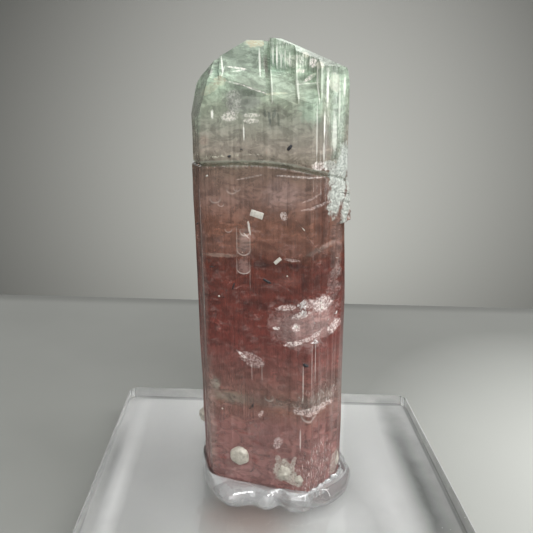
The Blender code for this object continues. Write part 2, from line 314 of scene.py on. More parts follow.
class Finish:
    """A material and the nodes that it is made of.

    Its place is in millimetres from the row's origin, or in the crystal's own leaning frame.
    """

    def __init__(self, name, in_crystal=False):
        self.material = bpy.data.materials.new(name)
        self.material.use_nodes = True
        self.tree = self.material.node_tree
        self.tree.nodes.clear()
        place = {"Vector": self.node("ShaderNodeTexCoord", {}, {}, "Object"), "Scale": (MM, MM, MM)}
        if in_crystal:
            place.update(Location=AXIS_FOOT, Rotation=(0.0, CRYSTAL_LEAN, 0.0))
        self.place = self.node("ShaderNodeMapping", {"vector_type": "TEXTURE"}, place)

    def node(self, kind, settings, inputs, output=0):
        """Add a node: its settings come first, then the values or links of its sockets."""
        node = self.tree.nodes.new(kind)
        for name, value in settings.items():
            if name == "stops":
                self.set_stops(node.color_ramp, value)
            else:
                setattr(node, name, value)
        for name, value in inputs.items():
            socket = node.inputs[name]
            if isinstance(value, Value):
                self.tree.links.new(value.socket, socket)
            elif socket.type == "RGBA":
                socket.default_value = (*value, 1.0)
            else:
                socket.default_value = value
        return Value(self, node.outputs[output]) if node.outputs else None

    def set_stops(self, ramp, stops):
        while len(ramp.elements) > 1:
            ramp.elements.remove(ramp.elements[-1])
        for number, (position, colour) in enumerate(stops):
            element = ramp.elements[0] if number == 0 else ramp.elements.new(position)
            element.position = position
            element.color = (*colour, 1.0)

    def blend(self, factor, first, second, kind="MIX"):
        """Mix two colours: first where factor is 0, second where it is 1."""
        return self.node("ShaderNodeMix", {"data_type": "RGBA", "blend_type": kind},
                         {0: factor, MIX_FIRST: first, MIX_SECOND: second}, MIX_RESULT)

    def surface(self, **inputs):
        """A Principled shader; an underscore in an input's name stands for a space."""
        return self.node("ShaderNodeBsdfPrincipled", {},
                         {name.replace("_", " "): value for name, value in inputs.items()})

    def mixed(self, factor, first, second):
        return self.node("ShaderNodeMixShader", {}, {0: factor, 1: first, 2: second})

    def done(self, shader):
        self.node("ShaderNodeOutputMaterial", {}, {"Surface": shader})
        return self.material


# ---------------------------------------------------------------- shape helpers

def fade(value):
    """1 at zero, falling smoothly to 0 at plus or minus one."""
    return max(0.0, 1.0 - value * value) ** 2


def ramp(value):
    """0 below zero, 1 above one, smooth between them."""
    value = min(1.0, max(0.0, value))
    return value * value * (3.0 - 2.0 * value)


def steps(start, end, count):
    """Evenly spaced values from start, with the end left out."""
    return [start + (end - start) * number / count for number in range(count)]


def angle_between(first, second):
    return (first - second + 180.0) % 360.0 - 180.0


def around(angle, radius, height=0.0):
    """Point at a direction in degrees, a distance from the axis and a height."""
    return Vector((radius * cos(radians(angle)), radius * sin(radians(angle)), height))


def rough_noise(place, softness=0.8):
    """Noise of three sizes, each half as wide as the one before."""
    return noise.fractal(place, softness, 2.0, 3)


def bevel(bm, edges, offset, segments):
    bmesh.ops.bevel(bm, geom=edges, affect="EDGES", offset=offset, segments=segments, profile=0.5,
                    material=-1)


def new_object(name, bm, material=None):
    mesh = bpy.data.meshes.new(name)
    bm.to_mesh(mesh)
    bm.free()
    if material:
        mesh.materials.append(material)
    made = bpy.data.objects.new(name, mesh)
    bpy.context.scene.collection.objects.link(made)
    return made


def add_piece(name, bm, material, smooth_angle):
    """Turn a bmesh, already in place, into a piece that rides on the part's one body."""
    bmesh.ops.recalc_face_normals(bm, faces=bm.faces[:])
    piece = new_object(name, bm, material)
    piece.data.shade_smooth()
    piece.data.set_sharp_from_angle(angle=radians(smooth_angle))
    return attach(piece, "root")


def add_crystal_piece(name, bm, material, smooth_angle):
    """A piece made in the crystal's own frame, set to lean as the crystal does."""
    bmesh.ops.transform(bm, matrix=CRYSTAL_PLACE, verts=bm.verts[:])
    return add_piece(name, bm, material, smooth_angle)


def block_between(low, high):
    """A bmesh of the block between two opposite corners."""
    bm = bmesh.new()
    bmesh.ops.create_cube(bm, size=1.0)
    bmesh.ops.scale(bm, vec=high - low, verts=bm.verts[:])
    bmesh.ops.translate(bm, vec=(high + low) / 2.0, verts=bm.verts[:])
    return bm


def stack_rings(bm, columns, ring_points):
    """Add a closed solid through a stack of rings: each is extruded from the ring below it."""
    column = bm.verts.layers.int.get("column") or bm.verts.layers.int.new("column")
    verts = bmesh.ops.create_circle(bm, cap_ends=False, segments=columns, radius=1.0)["verts"]
    for vert in verts:
        turn = atan2(vert.co.y, vert.co.x) / (2.0 * pi) * columns
        vert[column] = round(turn) % columns
    edges = first_edges = [edge for vert in verts for edge in vert.link_edges if edge.verts[0] == vert]
    for number, point_at in enumerate(ring_points):
        if number > 0:
            made = bmesh.ops.extrude_edge_only(bm, edges=edges)["geom"]
            verts = [item for item in made if isinstance(item, bmesh.types.BMVert)]
            edges = [item for item in made if isinstance(item, bmesh.types.BMEdge)]
        for vert in verts:
            vert.co = point_at(360.0 * vert[column] / columns)
    for rim in (first_edges, edges):
        bmesh.ops.contextual_create(bm, geom=rim)


# ---------------------------------------------------------------- crystal shape

def prism_radius(angle):
    """Distance from the axis to the plain prism, its edges rounded."""
    total = 0.0
    for face_angle, distance in PRISM_FACES:
        facing = cos(radians(angle - face_angle)) / distance
        if facing > 0.0:
            total += facing ** EDGE_SHARPNESS
    return total ** (-1.0 / EDGE_SHARPNESS)


def ridge_height(angle):
    return max(height * fade(angle_between(angle, middle) / RIDGE_HALF_WIDTH)
               for middle, height in FRONT_RIDGES + SIDE_RIDGES)


def crack_level(x):
    offset = x - CRACK_MIDDLE_X
    fall = CRACK_FALL_RIGHT if offset > 0.0 else CRACK_FALL_LEFT
    return CRACK_LEVEL - fall * offset * offset


def fine_relief(angle, level, patch, ragged):
    """Height of the fine striations and grain, which the plain prism doesn't have."""
    across = around(angle, 1.0) * STRIATIONS_AROUND
    along = level / STRIATION_LENGTH
    lines = noise.noise(Vector((across.x, across.y, along)))
    lines += 0.6 * noise.noise(Vector((across.x * 2.6, across.y * 2.6, along * 1.7)))
    broad_face = fade(angle_between(angle, PRISM_FACES[0][0]) / 40.0)
    height = STRIATION_SIDE + (STRIATION_FRONT - STRIATION_SIDE) * broad_face
    place = (around(angle, 1.0) * prism_radius(angle) + Vector((0.0, 0.0, level))) / MM
    waves = WAVE_HEIGHT * noise.noise(place * 0.16)
    rough = PATCH_GRAIN * patch * rough_noise(place * 1.5)
    crumbs = FOOT_GRAIN * ragged * rough_noise(place * 1.1)
    return height * lines + waves + rough + crumbs


def crystal_point(angle, level, set_in=0.0, fine=True, grown=0.0):
    """Point of the crystal's side at a level: set_in sinks a groove, grown adds a clearance."""
    radius = prism_radius(angle) * (1.0 + WIDENING * level)
    x = radius * cos(radians(angle))
    height = level + (crack_level(x) - CRACK_LEVEL) * fade((level - CRACK_LEVEL) / CRACK_REACH)
    radius += ridge_height(angle)
    radius -= UPPER_SET_IN * ramp((level - CRACK_LEVEL) / UPPER_SET_IN_OVER)
    across = fade(angle_between(angle, PATCH_DIRECTION) / PATCH_HALF_WIDTH)
    over_ledge = ramp((level - PATCH_FOOT) / LEDGE_HEIGHT)
    above = over_ledge * (1.0 - ramp((level - PATCH_FOOT) / (PATCH_HEAD - PATCH_FOOT)))
    below = (1.0 - over_ledge) * ramp((level - HOLLOW_FOOT) / (PATCH_FOOT - HOLLOW_FOOT))
    place = around(angle, radius, level) / MM
    radius += PATCH_HEIGHT * across * above * (0.8 + PATCH_UNEVENNESS * noise.noise(place))
    radius -= HOLLOW_DEPTH * across * below
    ragged = 1.0 - ramp((level - FOOT_LEVEL) / FOOT_RAGGED_HEIGHT)
    radius -= FOOT_RAGGED_DEPTH * ragged * (0.5 + 0.5 * noise.noise(place * 0.6))
    if fine:
        radius += fine_relief(angle, level, across * above, ragged)
    return around(angle, radius + grown - set_in, height)


def crystal_rings():
    """The crystal's side from its foot up, with the crack's groove set in."""
    share = 1.0
    rings = [(CRYSTAL_BLANK_TOP, 0.0)]
    for start, end, count in RING_BANDS:
        rings += [(level, 0.0) for level in steps(start, end, int(count * share))]
    for offset in RINGS_FROM_CRACK:
        rings.append((CRACK_LEVEL + offset * MM, CRACK_DEPTH * fade(offset * MM / CRACK_HALF_WIDTH)))
    return [partial(crystal_point, level=level, set_in=set_in) for level, set_in in sorted(rings)]


def facet_height(x, y, facing, slope, level):
    along = x * cos(radians(facing)) + y * sin(radians(facing))
    return level - tan(radians(slope)) * along


def cut_top_facets(bm):
    """Each facet slices the blank's top off along a plane and closes the cut with one flat face."""
    for facing, slope, level in TOP_FACETS:
        normal = around(facing, 1.0) * sin(radians(slope)) + Vector((0.0, 0.0, cos(radians(slope))))
        geometry = bm.verts[:] + bm.edges[:] + bm.faces[:]
        cut = bmesh.ops.bisect_plane(bm, geom=geometry, plane_co=Vector((0.0, 0.0, level)),
                                     plane_no=normal, dist=1e-7, clear_outer=True)["geom_cut"]
        rim = [item for item in cut if isinstance(item, bmesh.types.BMEdge)]
        if rim:
            bmesh.ops.contextual_create(bm, geom=rim)


def front_block(name, left, right, back, sunk, striated):
    """A block standing on the front facet's plane, its back wall striated, to be cut out of the top."""
    bm = bmesh.new()
    bmesh.ops.create_cube(bm, size=2.0)
    crosswise = [edge for edge in bm.edges if abs(edge.verts[0].co.x - edge.verts[1].co.x) > 1.0]
    if striated > 0.0:
        bmesh.ops.subdivide_edges(bm, edges=crosswise, cuts=BLOCK_STRIPS, use_grid_fill=True)
    for vert in bm.verts:
        x = left + (right - left) * (vert.co.x + 1.0) / 2.0
        y = BLOCK_FRONT
        if vert.co.y > 0.0:
            y = back + striated * rough_noise(Vector((x / MM * 2.1, back / MM, 0.0)), 0.7)
        floor = facet_height(x, y, FRONT_FACET_DIRECTION, FRONT_FACET_SLOPE, FRONT_FACET_LEVEL) - sunk
        vert.co = Vector((x, y, BLOCK_TOP if vert.co.z > 0.0 else floor))
    bmesh.ops.recalc_face_normals(bm, faces=bm.faces[:])
    return new_object(name, bm)


def cut_front_blocks(bm):
    """Cut the front facet's blocks out of the crystal with Boolean modifiers."""
    blank = new_object("crystal_blank", bm)
    cutters = [front_block(name, *(size * MM for size in sizes)) for name, sizes in FRONT_BLOCKS.items()]
    for cutter in cutters:
        modifier = blank.modifiers.new(cutter.name, "BOOLEAN")
        modifier.operation = "DIFFERENCE"
        modifier.solver = "EXACT"
        modifier.object = cutter
    bpy.context.view_layer.update()
    cut = bmesh.new()
    cut.from_mesh(blank.evaluated_get(bpy.context.evaluated_depsgraph_get()).to_mesh())
    for made in (blank, *cutters):
        bpy.data.objects.remove(made, do_unlink=True)
    return cut


def build_crystal(material):
    bm = bmesh.new()
    stack_rings(bm, CRYSTAL_COLUMNS, crystal_rings())
    cut_top_facets(bm)
    bmesh.ops.recalc_face_normals(bm, faces=bm.faces[:])
    crystal = add_crystal_piece("tourmaline_prism", cut_front_blocks(bm), material, 24.0)
    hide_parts("tourmaline_crystal")


def front_surface(x, level):
    """Y of the crystal's front at a place across it and a level."""
    fronts = []
    for facing, distance in PRISM_FACES[:2]:
        grown = distance * (1.0 + WIDENING * level)
        fronts.append((grown - x * cos(radians(facing))) / sin(radians(facing)))
    return max(fronts)


def inside(x, level, depth):
    """Place inside the crystal, in its own frame: x and level in millimetres, depth behind its front."""
    x, level = x * MM, level * MM
    return Vector((x, front_surface(x, level) + depth * MM, level))


def along_front(x, level, depth, turn):
    """Frame at that place whose X runs along the nearer front face, turned on that face."""
    facing = PRISM_FACES[0][0] if x < FRONT_EDGE_X else PRISM_FACES[1][0]
    upright = Matrix.Translation(inside(x, level, depth)) @ Matrix.Rotation(radians(facing + 90), 4, "Z")
    return upright @ Matrix.Rotation(radians(-turn), 4, "Y")


# ---------------------------------------------------------------- grown crystals

def build_hexagon(material):
    """The pale six-sided crystal on the front, its rim bevelled and its end uneven."""
    bm = bmesh.new()
    turn = around(HEXAGON_FACES, 1.0).to_track_quat("Z", "Y").to_matrix().to_4x4()
    bmesh.ops.create_cone(bm, cap_ends=True, segments=6, radius1=HEXAGON_RADIUS, radius2=HEXAGON_TIP_RADIUS,
                          depth=HEXAGON_DEPTH, matrix=Matrix.Translation(HEXAGON_PLACE) @ turn)
    bevel(bm, bm.edges[:], HEXAGON_EDGE, 2)
    bmesh.ops.triangulate(bm, faces=bm.faces[:])
    for _ in range(3):
        long_edges = [edge for edge in bm.edges if edge.calc_length() > HEXAGON_LONGEST_EDGE]
        bmesh.ops.subdivide_edges(bm, edges=long_edges, cuts=1)
    for vert in bm.verts:
        away = (vert.co - HEXAGON_PLACE).normalized()
        vert.co += away * HEXAGON_UNEVENNESS * rough_noise(vert.co / MM * 0.9)
    add_crystal_piece("grown_hexagon", bm, material, 35.0)


def build_lumps(material):
    """The lumps grown on the prism, crusted with small grains."""
    bm = bmesh.new()
    for place, half_size in LUMPS:
        middle = Vector(place) * MM
        size = Matrix.Diagonal((*(Vector(half_size) * MM), 1.0))
        lump = bmesh.ops.create_icosphere(bm, subdivisions=5, radius=1.0,
                                          matrix=Matrix.Translation(middle) @ size)["verts"]
        for vert in lump:
            swelling = 1.0 + LUMP_BULGE * noise.noise(vert.co / LUMP_BULGE_WIDTH)
            swelling += LUMP_CRUST * noise.turbulence(vert.co / LUMP_CRUST_WIDTH, 4, True) - LUMP_CRUST_SUNK
            vert.co = middle + (vert.co - middle) * min(swelling, LUMP_LARGEST)
    add_crystal_piece("grown_lumps", bm, material, 40.0)


# ---------------------------------------------------------------- inclusions

# Thin frosted flakes: x, level, depth behind the front, half width, half height, turn in degrees, tilt
VEILS = (
    (6.6, 42.5, 0.9, 3.6, 1.5, 8, 8), (3.2, 40.2, 1.4, 3.6, 2.0, 10, 6), (9.5, 40.6, 1.0, 2.2, 2.2, 20, 20),
    (4.2, 35.2, 0.5, 3.2, 0.5, 12, 25), (9.2, 37.4, 0.5, 2.4, 0.5, 24, 25),
    (11.2, 39.3, 0.5, 1.3, 1.0, 15, 20), (-4.4, 30.8, 0.6, 2.4, 0.7, -22, 25),
    (-6.9, 32.2, 0.5, 1.2, 0.45, -38, 25), (-7.0, 71.6, 0.7, 1.5, 0.14, 3, 25),
    (2.6, 50.9, 0.8, 1.4, 0.32, 3, 20), (7.2, 50.2, 0.6, 1.6, 0.26, -30, 20),
    (2.0, 22.2, 0.9, 3.0, 0.6, 6, 30), (-2.4, 18.6, 0.7, 1.0, 0.4, 30, 30),
)
VEIL_THICKNESS = 0.02 * MM
FLAKE_COLUMNS = 36
FLAKE_ROWS = 14
FLAKE_WRINKLE = 0.20 * MM
FLAKE_RAGGED = 0.25
# Tube-shaped hollows: two ends (x, level), depth and radius
TUBES = (
    ((-5.8, 57.0), (-5.8, 51.6), 1.35, 1.15), ((-5.9, 50.3), (-5.9, 48.0), 1.35, 1.1),
)
# Dark specks: x, level, depth, half length, half width, turn in degrees
SPECKS = (
    (-1.6, 46.6, 0.1, 0.95, 0.28, -28), (-7.8, 45.2, 0.05, 0.7, 0.16, 72),
    (-9.2, 44.2, 0.05, 0.7, 0.07, 12), (2.3, 70.2, 0.1, 0.6, 0.26, 48), (5.2, 30.8, 0.1, 0.55, 0.3, -12),
    (-4.7, 21.2, 0.05, 0.5, 0.17, 70), (-5.2, 20.5, 0.05, 0.18, 0.12, 20), (-11.5, 48.7, 0.1, 0.6, 0.12, 8),
    (-7.9, 68.6, 0.15, 0.35, 0.18, 10), (-5.8, 69.8, 0.1, 0.16, 0.14, 0), (-9.6, 43.0, 0.05, 0.14, 0.14, 0),
    (0.6, 61.3, 0.1, 0.34, 0.14, -8), (-14.0, 56.6, 0.1, 0.22, 0.12, 50),
)
SPECK_UNEVENNESS = 0.35
SPECK_GRAIN = 0.25 * MM
# Pale plates and rods: x, level, depth, half sizes along, up and in, turn in degrees
PLATES = (
    (-3.3, 58.7, 0.1, 1.2, 0.62, 0.16, -17), (-1.7, 58.3, 0.16, 0.5, 0.34, 0.16, -12),
    (0.25, 50.5, 0.1, 0.78, 0.34, 0.16, 42), (1.9, 47.8, 0.05, 0.15, 0.15, 0.14, 45),
    (-10.5, 43.1, 0.05, 0.17, 0.17, 0.14, 40), (-10.6, 19.8, 0.05, 0.16, 0.16, 0.14, 45),
    (-11.9, 65.2, 0.05, 0.2, 0.15, 0.14, 30), (3.5, 38.3, 0.05, 0.24, 0.3, 0.14, 20),
    (8.0, 42.3, 0.05, 0.3, 0.16, 0.14, 12), (8.3, 41.3, 0.05, 0.34, 0.14, 0.14, 20),
    (2.9, 35.1, 0.05, 0.4, 0.17, 0.14, 14),
)
PLATE_ROUNDING = 0.7                # the edges' bevel, as a share of the half size in
# Fibres: points (x, level), depth, radius
FIBRES = (
    (((3.4, 57.9), (4.8, 56.2), (6.2, 53.9), (7.8, 51.9), (9.8, 50.6), (11.6, 49.7)), 0.15, 0.04),
    (((3.4, 57.9), (3.9, 57.3), (4.8, 56.2)), 0.1, 0.085),
    (((6.2, 51.0), (7.0, 49.9), (7.6, 49.2)), 0.15, 0.045),
    (((-2.2, 30.9), (-1.2, 30.1), (-0.4, 29.4)), 0.1, 0.06),
    (((-2.4, 30.6), (-1.6, 29.9), (-1.0, 29.3)), 0.15, 0.045),
    (((-7.6, 32.7), (-6.9, 31.9), (-6.1, 31.1)), 0.1, 0.09),
)
# Swarms of small bubbles: x, level, depth, half width, half height, count, largest radius
BUBBLE_SWARMS = (
    (6.1, 20.6, 0.7, 3.2, 0.9, 34, 0.34), (-9.8, 45.0, 0.6, 3.4, 1.6, 30, 0.13),
    (-8.0, 61.5, 0.8, 4.0, 1.6, 24, 0.3), (0.4, 22.6, 0.8, 1.6, 0.9, 9, 0.42),
    (5.0, 39.5, 0.7, 5.5, 3.6, 70, 0.16), (8.0, 42.8, 0.5, 3.0, 1.4, 50, 0.22),
    (-4.0, 42.0, 0.9, 7.0, 9.0, 70, 0.1), (4.0, 72.0, 0.9, 8.0, 4.0, 30, 0.1),
    (8.0, 6.0, 0.4, 4.0, 3.6, 60, 0.16), (10.5, 47.0, 0.5, 1.6, 2.6, 24, 0.16),
)
ROD_END_STEPS = 6
ROD_END_HOLE = 0.03                 # the smallest ring of a rod's round end, as a share of its radius


def add_flake(bm, x, level, depth, half_width, half_height, turn, tilt):
    """One wrinkled flake inside the crystal."""
    verts = bmesh.ops.create_grid(bm, x_segments=FLAKE_COLUMNS, y_segments=FLAKE_ROWS, size=1.0)["verts"]
    shape = Matrix.Diagonal((half_width * MM, half_height * MM, 1.0, 1.0))
    place = along_front(x, level, depth, turn) @ Matrix.Rotation(radians(90 - tilt), 4, "X")
    for vert in verts:
        wrinkle = rough_noise(Vector((vert.co.x * half_width, vert.co.y * half_height, x)), 0.9)
        edge = 1.0 + FLAKE_RAGGED * noise.noise(Vector((vert.co.x * 2.0 + x, vert.co.y * 2.0, level)))
        vert.co = place @ (shape @ (vert.co * edge) + Vector((0.0, 0.0, FLAKE_WRINKLE * wrinkle)))


def build_veils(material):
    bm = bmesh.new()
    for veil in VEILS:
        add_flake(bm, *veil)
    bmesh.ops.solidify(bm, geom=bm.faces[:], thickness=VEIL_THICKNESS)
    add_crystal_piece("inner_veils", bm, material, 60.0)


def add_rod(bm, start, end, radius, columns=32):
    """A rod with round ends from start to end."""
    axis = end - start
    turn = axis.to_track_quat("Z", "Y").to_matrix()
    arc = [pi / 2.0 * number / ROD_END_STEPS for number in range(ROD_END_STEPS + 1)]
    rings = [(-radius * cos(a), radius * max(sin(a), ROD_END_HOLE)) for a in arc]
    rings += [(axis.length + radius * sin(a), radius * max(cos(a), ROD_END_HOLE)) for a in arc]
    stack_rings(bm, columns, [lambda angle, wide=wide, along=along: start + turn @ around(angle, wide, along)
                              for along, wide in rings])


def build_tubes(material):
    bm = bmesh.new()
    for top, bottom, depth, radius in TUBES:
        add_rod(bm, inside(*bottom, depth), inside(*top, depth), radius * MM)
    add_crystal_piece("inner_tubes", bm, material, 60.0)


def build_specks(material):
    bm = bmesh.new()
    for x, level, depth, half_length, half_width, turn in SPECKS:
        middle = inside(x, level, depth)
        size = Matrix.Diagonal((half_length * MM, half_width * MM, half_width * MM, 1.0))
        verts = bmesh.ops.create_icosphere(bm, subdivisions=3, radius=1.0,
                                           matrix=along_front(x, level, depth, turn) @ size)["verts"]
        for vert in verts:
            swelling = 1.0 + SPECK_UNEVENNESS * noise.noise(vert.co / SPECK_GRAIN)
            vert.co = middle + (vert.co - middle) * swelling
    add_crystal_piece("dark_specks", bm, material, 50.0)


def build_plates(material):
    bm = bmesh.new()
    for x, level, depth, along, up, deep, turn in PLATES:
        size = Matrix.Diagonal((along * MM, deep * MM, up * MM, 1.0))
        cube = bmesh.ops.create_cube(bm, size=2.0, matrix=along_front(x, level, depth, turn) @ size)["verts"]
        edges = list(dict.fromkeys(edge for vert in cube for edge in vert.link_edges))
        bevel(bm, edges, PLATE_ROUNDING * deep * MM, 3)
    add_crystal_piece("pale_plates", bm, material, 40.0)


def build_fibres(material):
    bm = bmesh.new()
    for points, depth, radius in FIBRES:
        for start, end in zip(points, points[1:]):
            add_rod(bm, inside(*start, depth), inside(*end, depth), radius * MM, columns=8)
    add_crystal_piece("inner_fibres", bm, material, 80.0)


def build_bubbles(material):
    """Small bright bubbles inside the crystal, in swarms."""
    random = Random(11)
    bm = bmesh.new()
    for x, level, depth, half_width, half_height, count, largest in BUBBLE_SWARMS:
        for _ in range(count):
            across = max(-1.0, min(1.0, random.gauss(0.0, 0.5)))
            up = max(-1.0, min(1.0, random.gauss(0.0, 0.5)))
            radius = largest * (0.35 + 0.65 * random.random() ** 2) * MM
            place = inside(x + half_width * across, level + half_height * up,
                           depth * random.uniform(0.7, 1.4))
            stretch = Matrix.Diagonal((random.uniform(0.7, 1.5), 0.8, random.uniform(0.6, 1.2), 1.0))
            bmesh.ops.create_icosphere(bm, subdivisions=1, radius=radius,
                                       matrix=Matrix.Translation(place) @ stretch)
    add_crystal_piece("inner_bubbles", bm, material, 80.0)


# ---------------------------------------------------------------- gel and slab

def eased(points, angle):
    """Value of a closed list of (direction, value) points, eased from one to the next."""
    angle %= 360.0
    points = [(points[-1][0] - 360.0, points[-1][1]), *points, (points[0][0] + 360.0, points[0][1])]
    for (start, start_value), (end, end_value) in zip(points, points[1:]):
        if start <= angle <= end:
            return start_value + (end_value - start_value) * ramp((angle - start) / (end - start))
    return points[0][1]


def gel_profile():
    """The bead's profile, rounded between its points with a Catmull-Rom curve."""
    ends = [GEL_PROFILE[0], *GEL_PROFILE, GEL_PROFILE[-1]]
    profile = []
    for before, start, end, after in zip(ends, ends[1:], ends[2:], ends[3:]):
        for t in steps(0.0, 1.0, GEL_PROFILE_STEPS):
            profile.append(0.5 * (2.0 * start + (end - before) * t
                                  + (2.0 * before - 5.0 * start + 4.0 * end - after) * t * t
                                  + (3.0 * start - before - 3.0 * end + after) * t * t * t))
    return profile + [GEL_PROFILE[-1]]


def gel_point(angle, share, height):
    """Point of the gel's outside, slightly uneven in width and height."""
    lip = prism_radius(angle) + GEL_LIP_WIDTH
    radius = lip + share * (eased(GEL_OUTLINE, angle) - lip)
    place = around(angle, radius, height)
    radius += GEL_UNEVEN_WIDTH * noise.noise(place / (2.4 * MM)) * min(1.0, share * 2.0)
    swelling = GEL_UNEVEN_HEIGHT * noise.noise(place / (3.1 * MM) + Vector((4.0, 0.0, 0.0)))
    return around(angle, radius, max(GEL_LOWEST, height + swelling * ramp(height / (2.0 * MM))))


def pocket_point(angle, level):
    """Point of the pocket's wall: the leaning crystal's side, a gap further out."""
    return Matrix.Rotation(CRYSTAL_LEAN, 3, "Y") @ crystal_point(angle, level, fine=False, grown=GEL_GAP)


def build_gel(material):
    rings = [partial(gel_point, share=point.x, height=point.y) for point in gel_profile()]
    rings += [partial(pocket_point, level=level)
              for level in steps(POCKET_TOP, FOOT_LEVEL - GEL_GAP, POCKET_RINGS)]
    bm = bmesh.new()
    stack_rings(bm, GEL_COLUMNS, rings)
    bmesh.ops.translate(bm, verts=bm.verts[:], vec=AXIS_FOOT)
    gel = add_piece("gel_bead", bm, material, 75.0)
    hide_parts("mounting_putty")


def build_slab(material):
    bm = block_between(*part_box("acrylic_base"))
    for upright, offset, segments in ((True, SLAB_CORNER_RADIUS, SLAB_CORNER_STEPS),
                                      (False, SLAB_EDGE_ROUND, SLAB_EDGE_STEPS)):
        edges = [edge for edge in bm.edges
                 if (abs(edge.verts[0].co.z - edge.verts[1].co.z) > 1e-6) == upright]
        bevel(bm, edges, offset, segments)
    slab = add_piece("acrylic_slab", bm, material, 40.0)
    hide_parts("acrylic_base")


# ---------------------------------------------------------------- features under the crystal's front, and light and shade painted on it

# Colour seen through the crystal at a level in millimetres
TOP_OF_ZONES = 90.0
ZONES = (
    (1.0, (0.44, 0.225, 0.205)), (6.7, (0.41, 0.21, 0.195)), (11.3, (0.405, 0.202, 0.184)),
    (17.0, (0.39, 0.184, 0.165)), (20.5, (0.36, 0.18, 0.14)), (22.4, (0.3, 0.175, 0.137)),
    (25.6, (0.33, 0.155, 0.13)), (29.8, (0.31, 0.105, 0.09)), (34.9, (0.235, 0.046, 0.036)),
    (39.9, (0.215, 0.042, 0.03)), (44.7, (0.205, 0.045, 0.032)), (49.5, (0.185, 0.04, 0.024)),
    (50.6, (0.22, 0.065, 0.04)), (52.2, (0.31, 0.14, 0.1)), (56.8, (0.315, 0.142, 0.095)),
    (61.2, (0.355, 0.215, 0.176)), (64.0, (0.325, 0.208, 0.166)), (66.8, (0.29, 0.205, 0.158)),
    (67.3, (0.44, 0.39, 0.31)), (69.7, (0.54, 0.47, 0.4)), (73.8, (0.48, 0.485, 0.405)),
    (77.1, (0.54, 0.61, 0.474)), (80.2, (0.66, 0.83, 0.64)), (83.3, (0.68, 0.85, 0.67)),
    (88.0, (0.5, 0.6, 0.49)),
)

# Features across the front and up it: x, level, half width, half height, turn in degrees, and then
# how strong each is. From back to front each reaches to both sides of a middle at FRONT_DEPTH, or
# of one further back for those above TOP_FROM_LEVEL
FRONT_DEPTH = -10.5
FRONT_REACH = 8.5
TOP_FROM_LEVEL = 82.0
TOP_DEPTH = -6.0
TOP_REACH = 10.0
SPOT_GROWTH = 0.15                  # spots reach this share past their half sizes
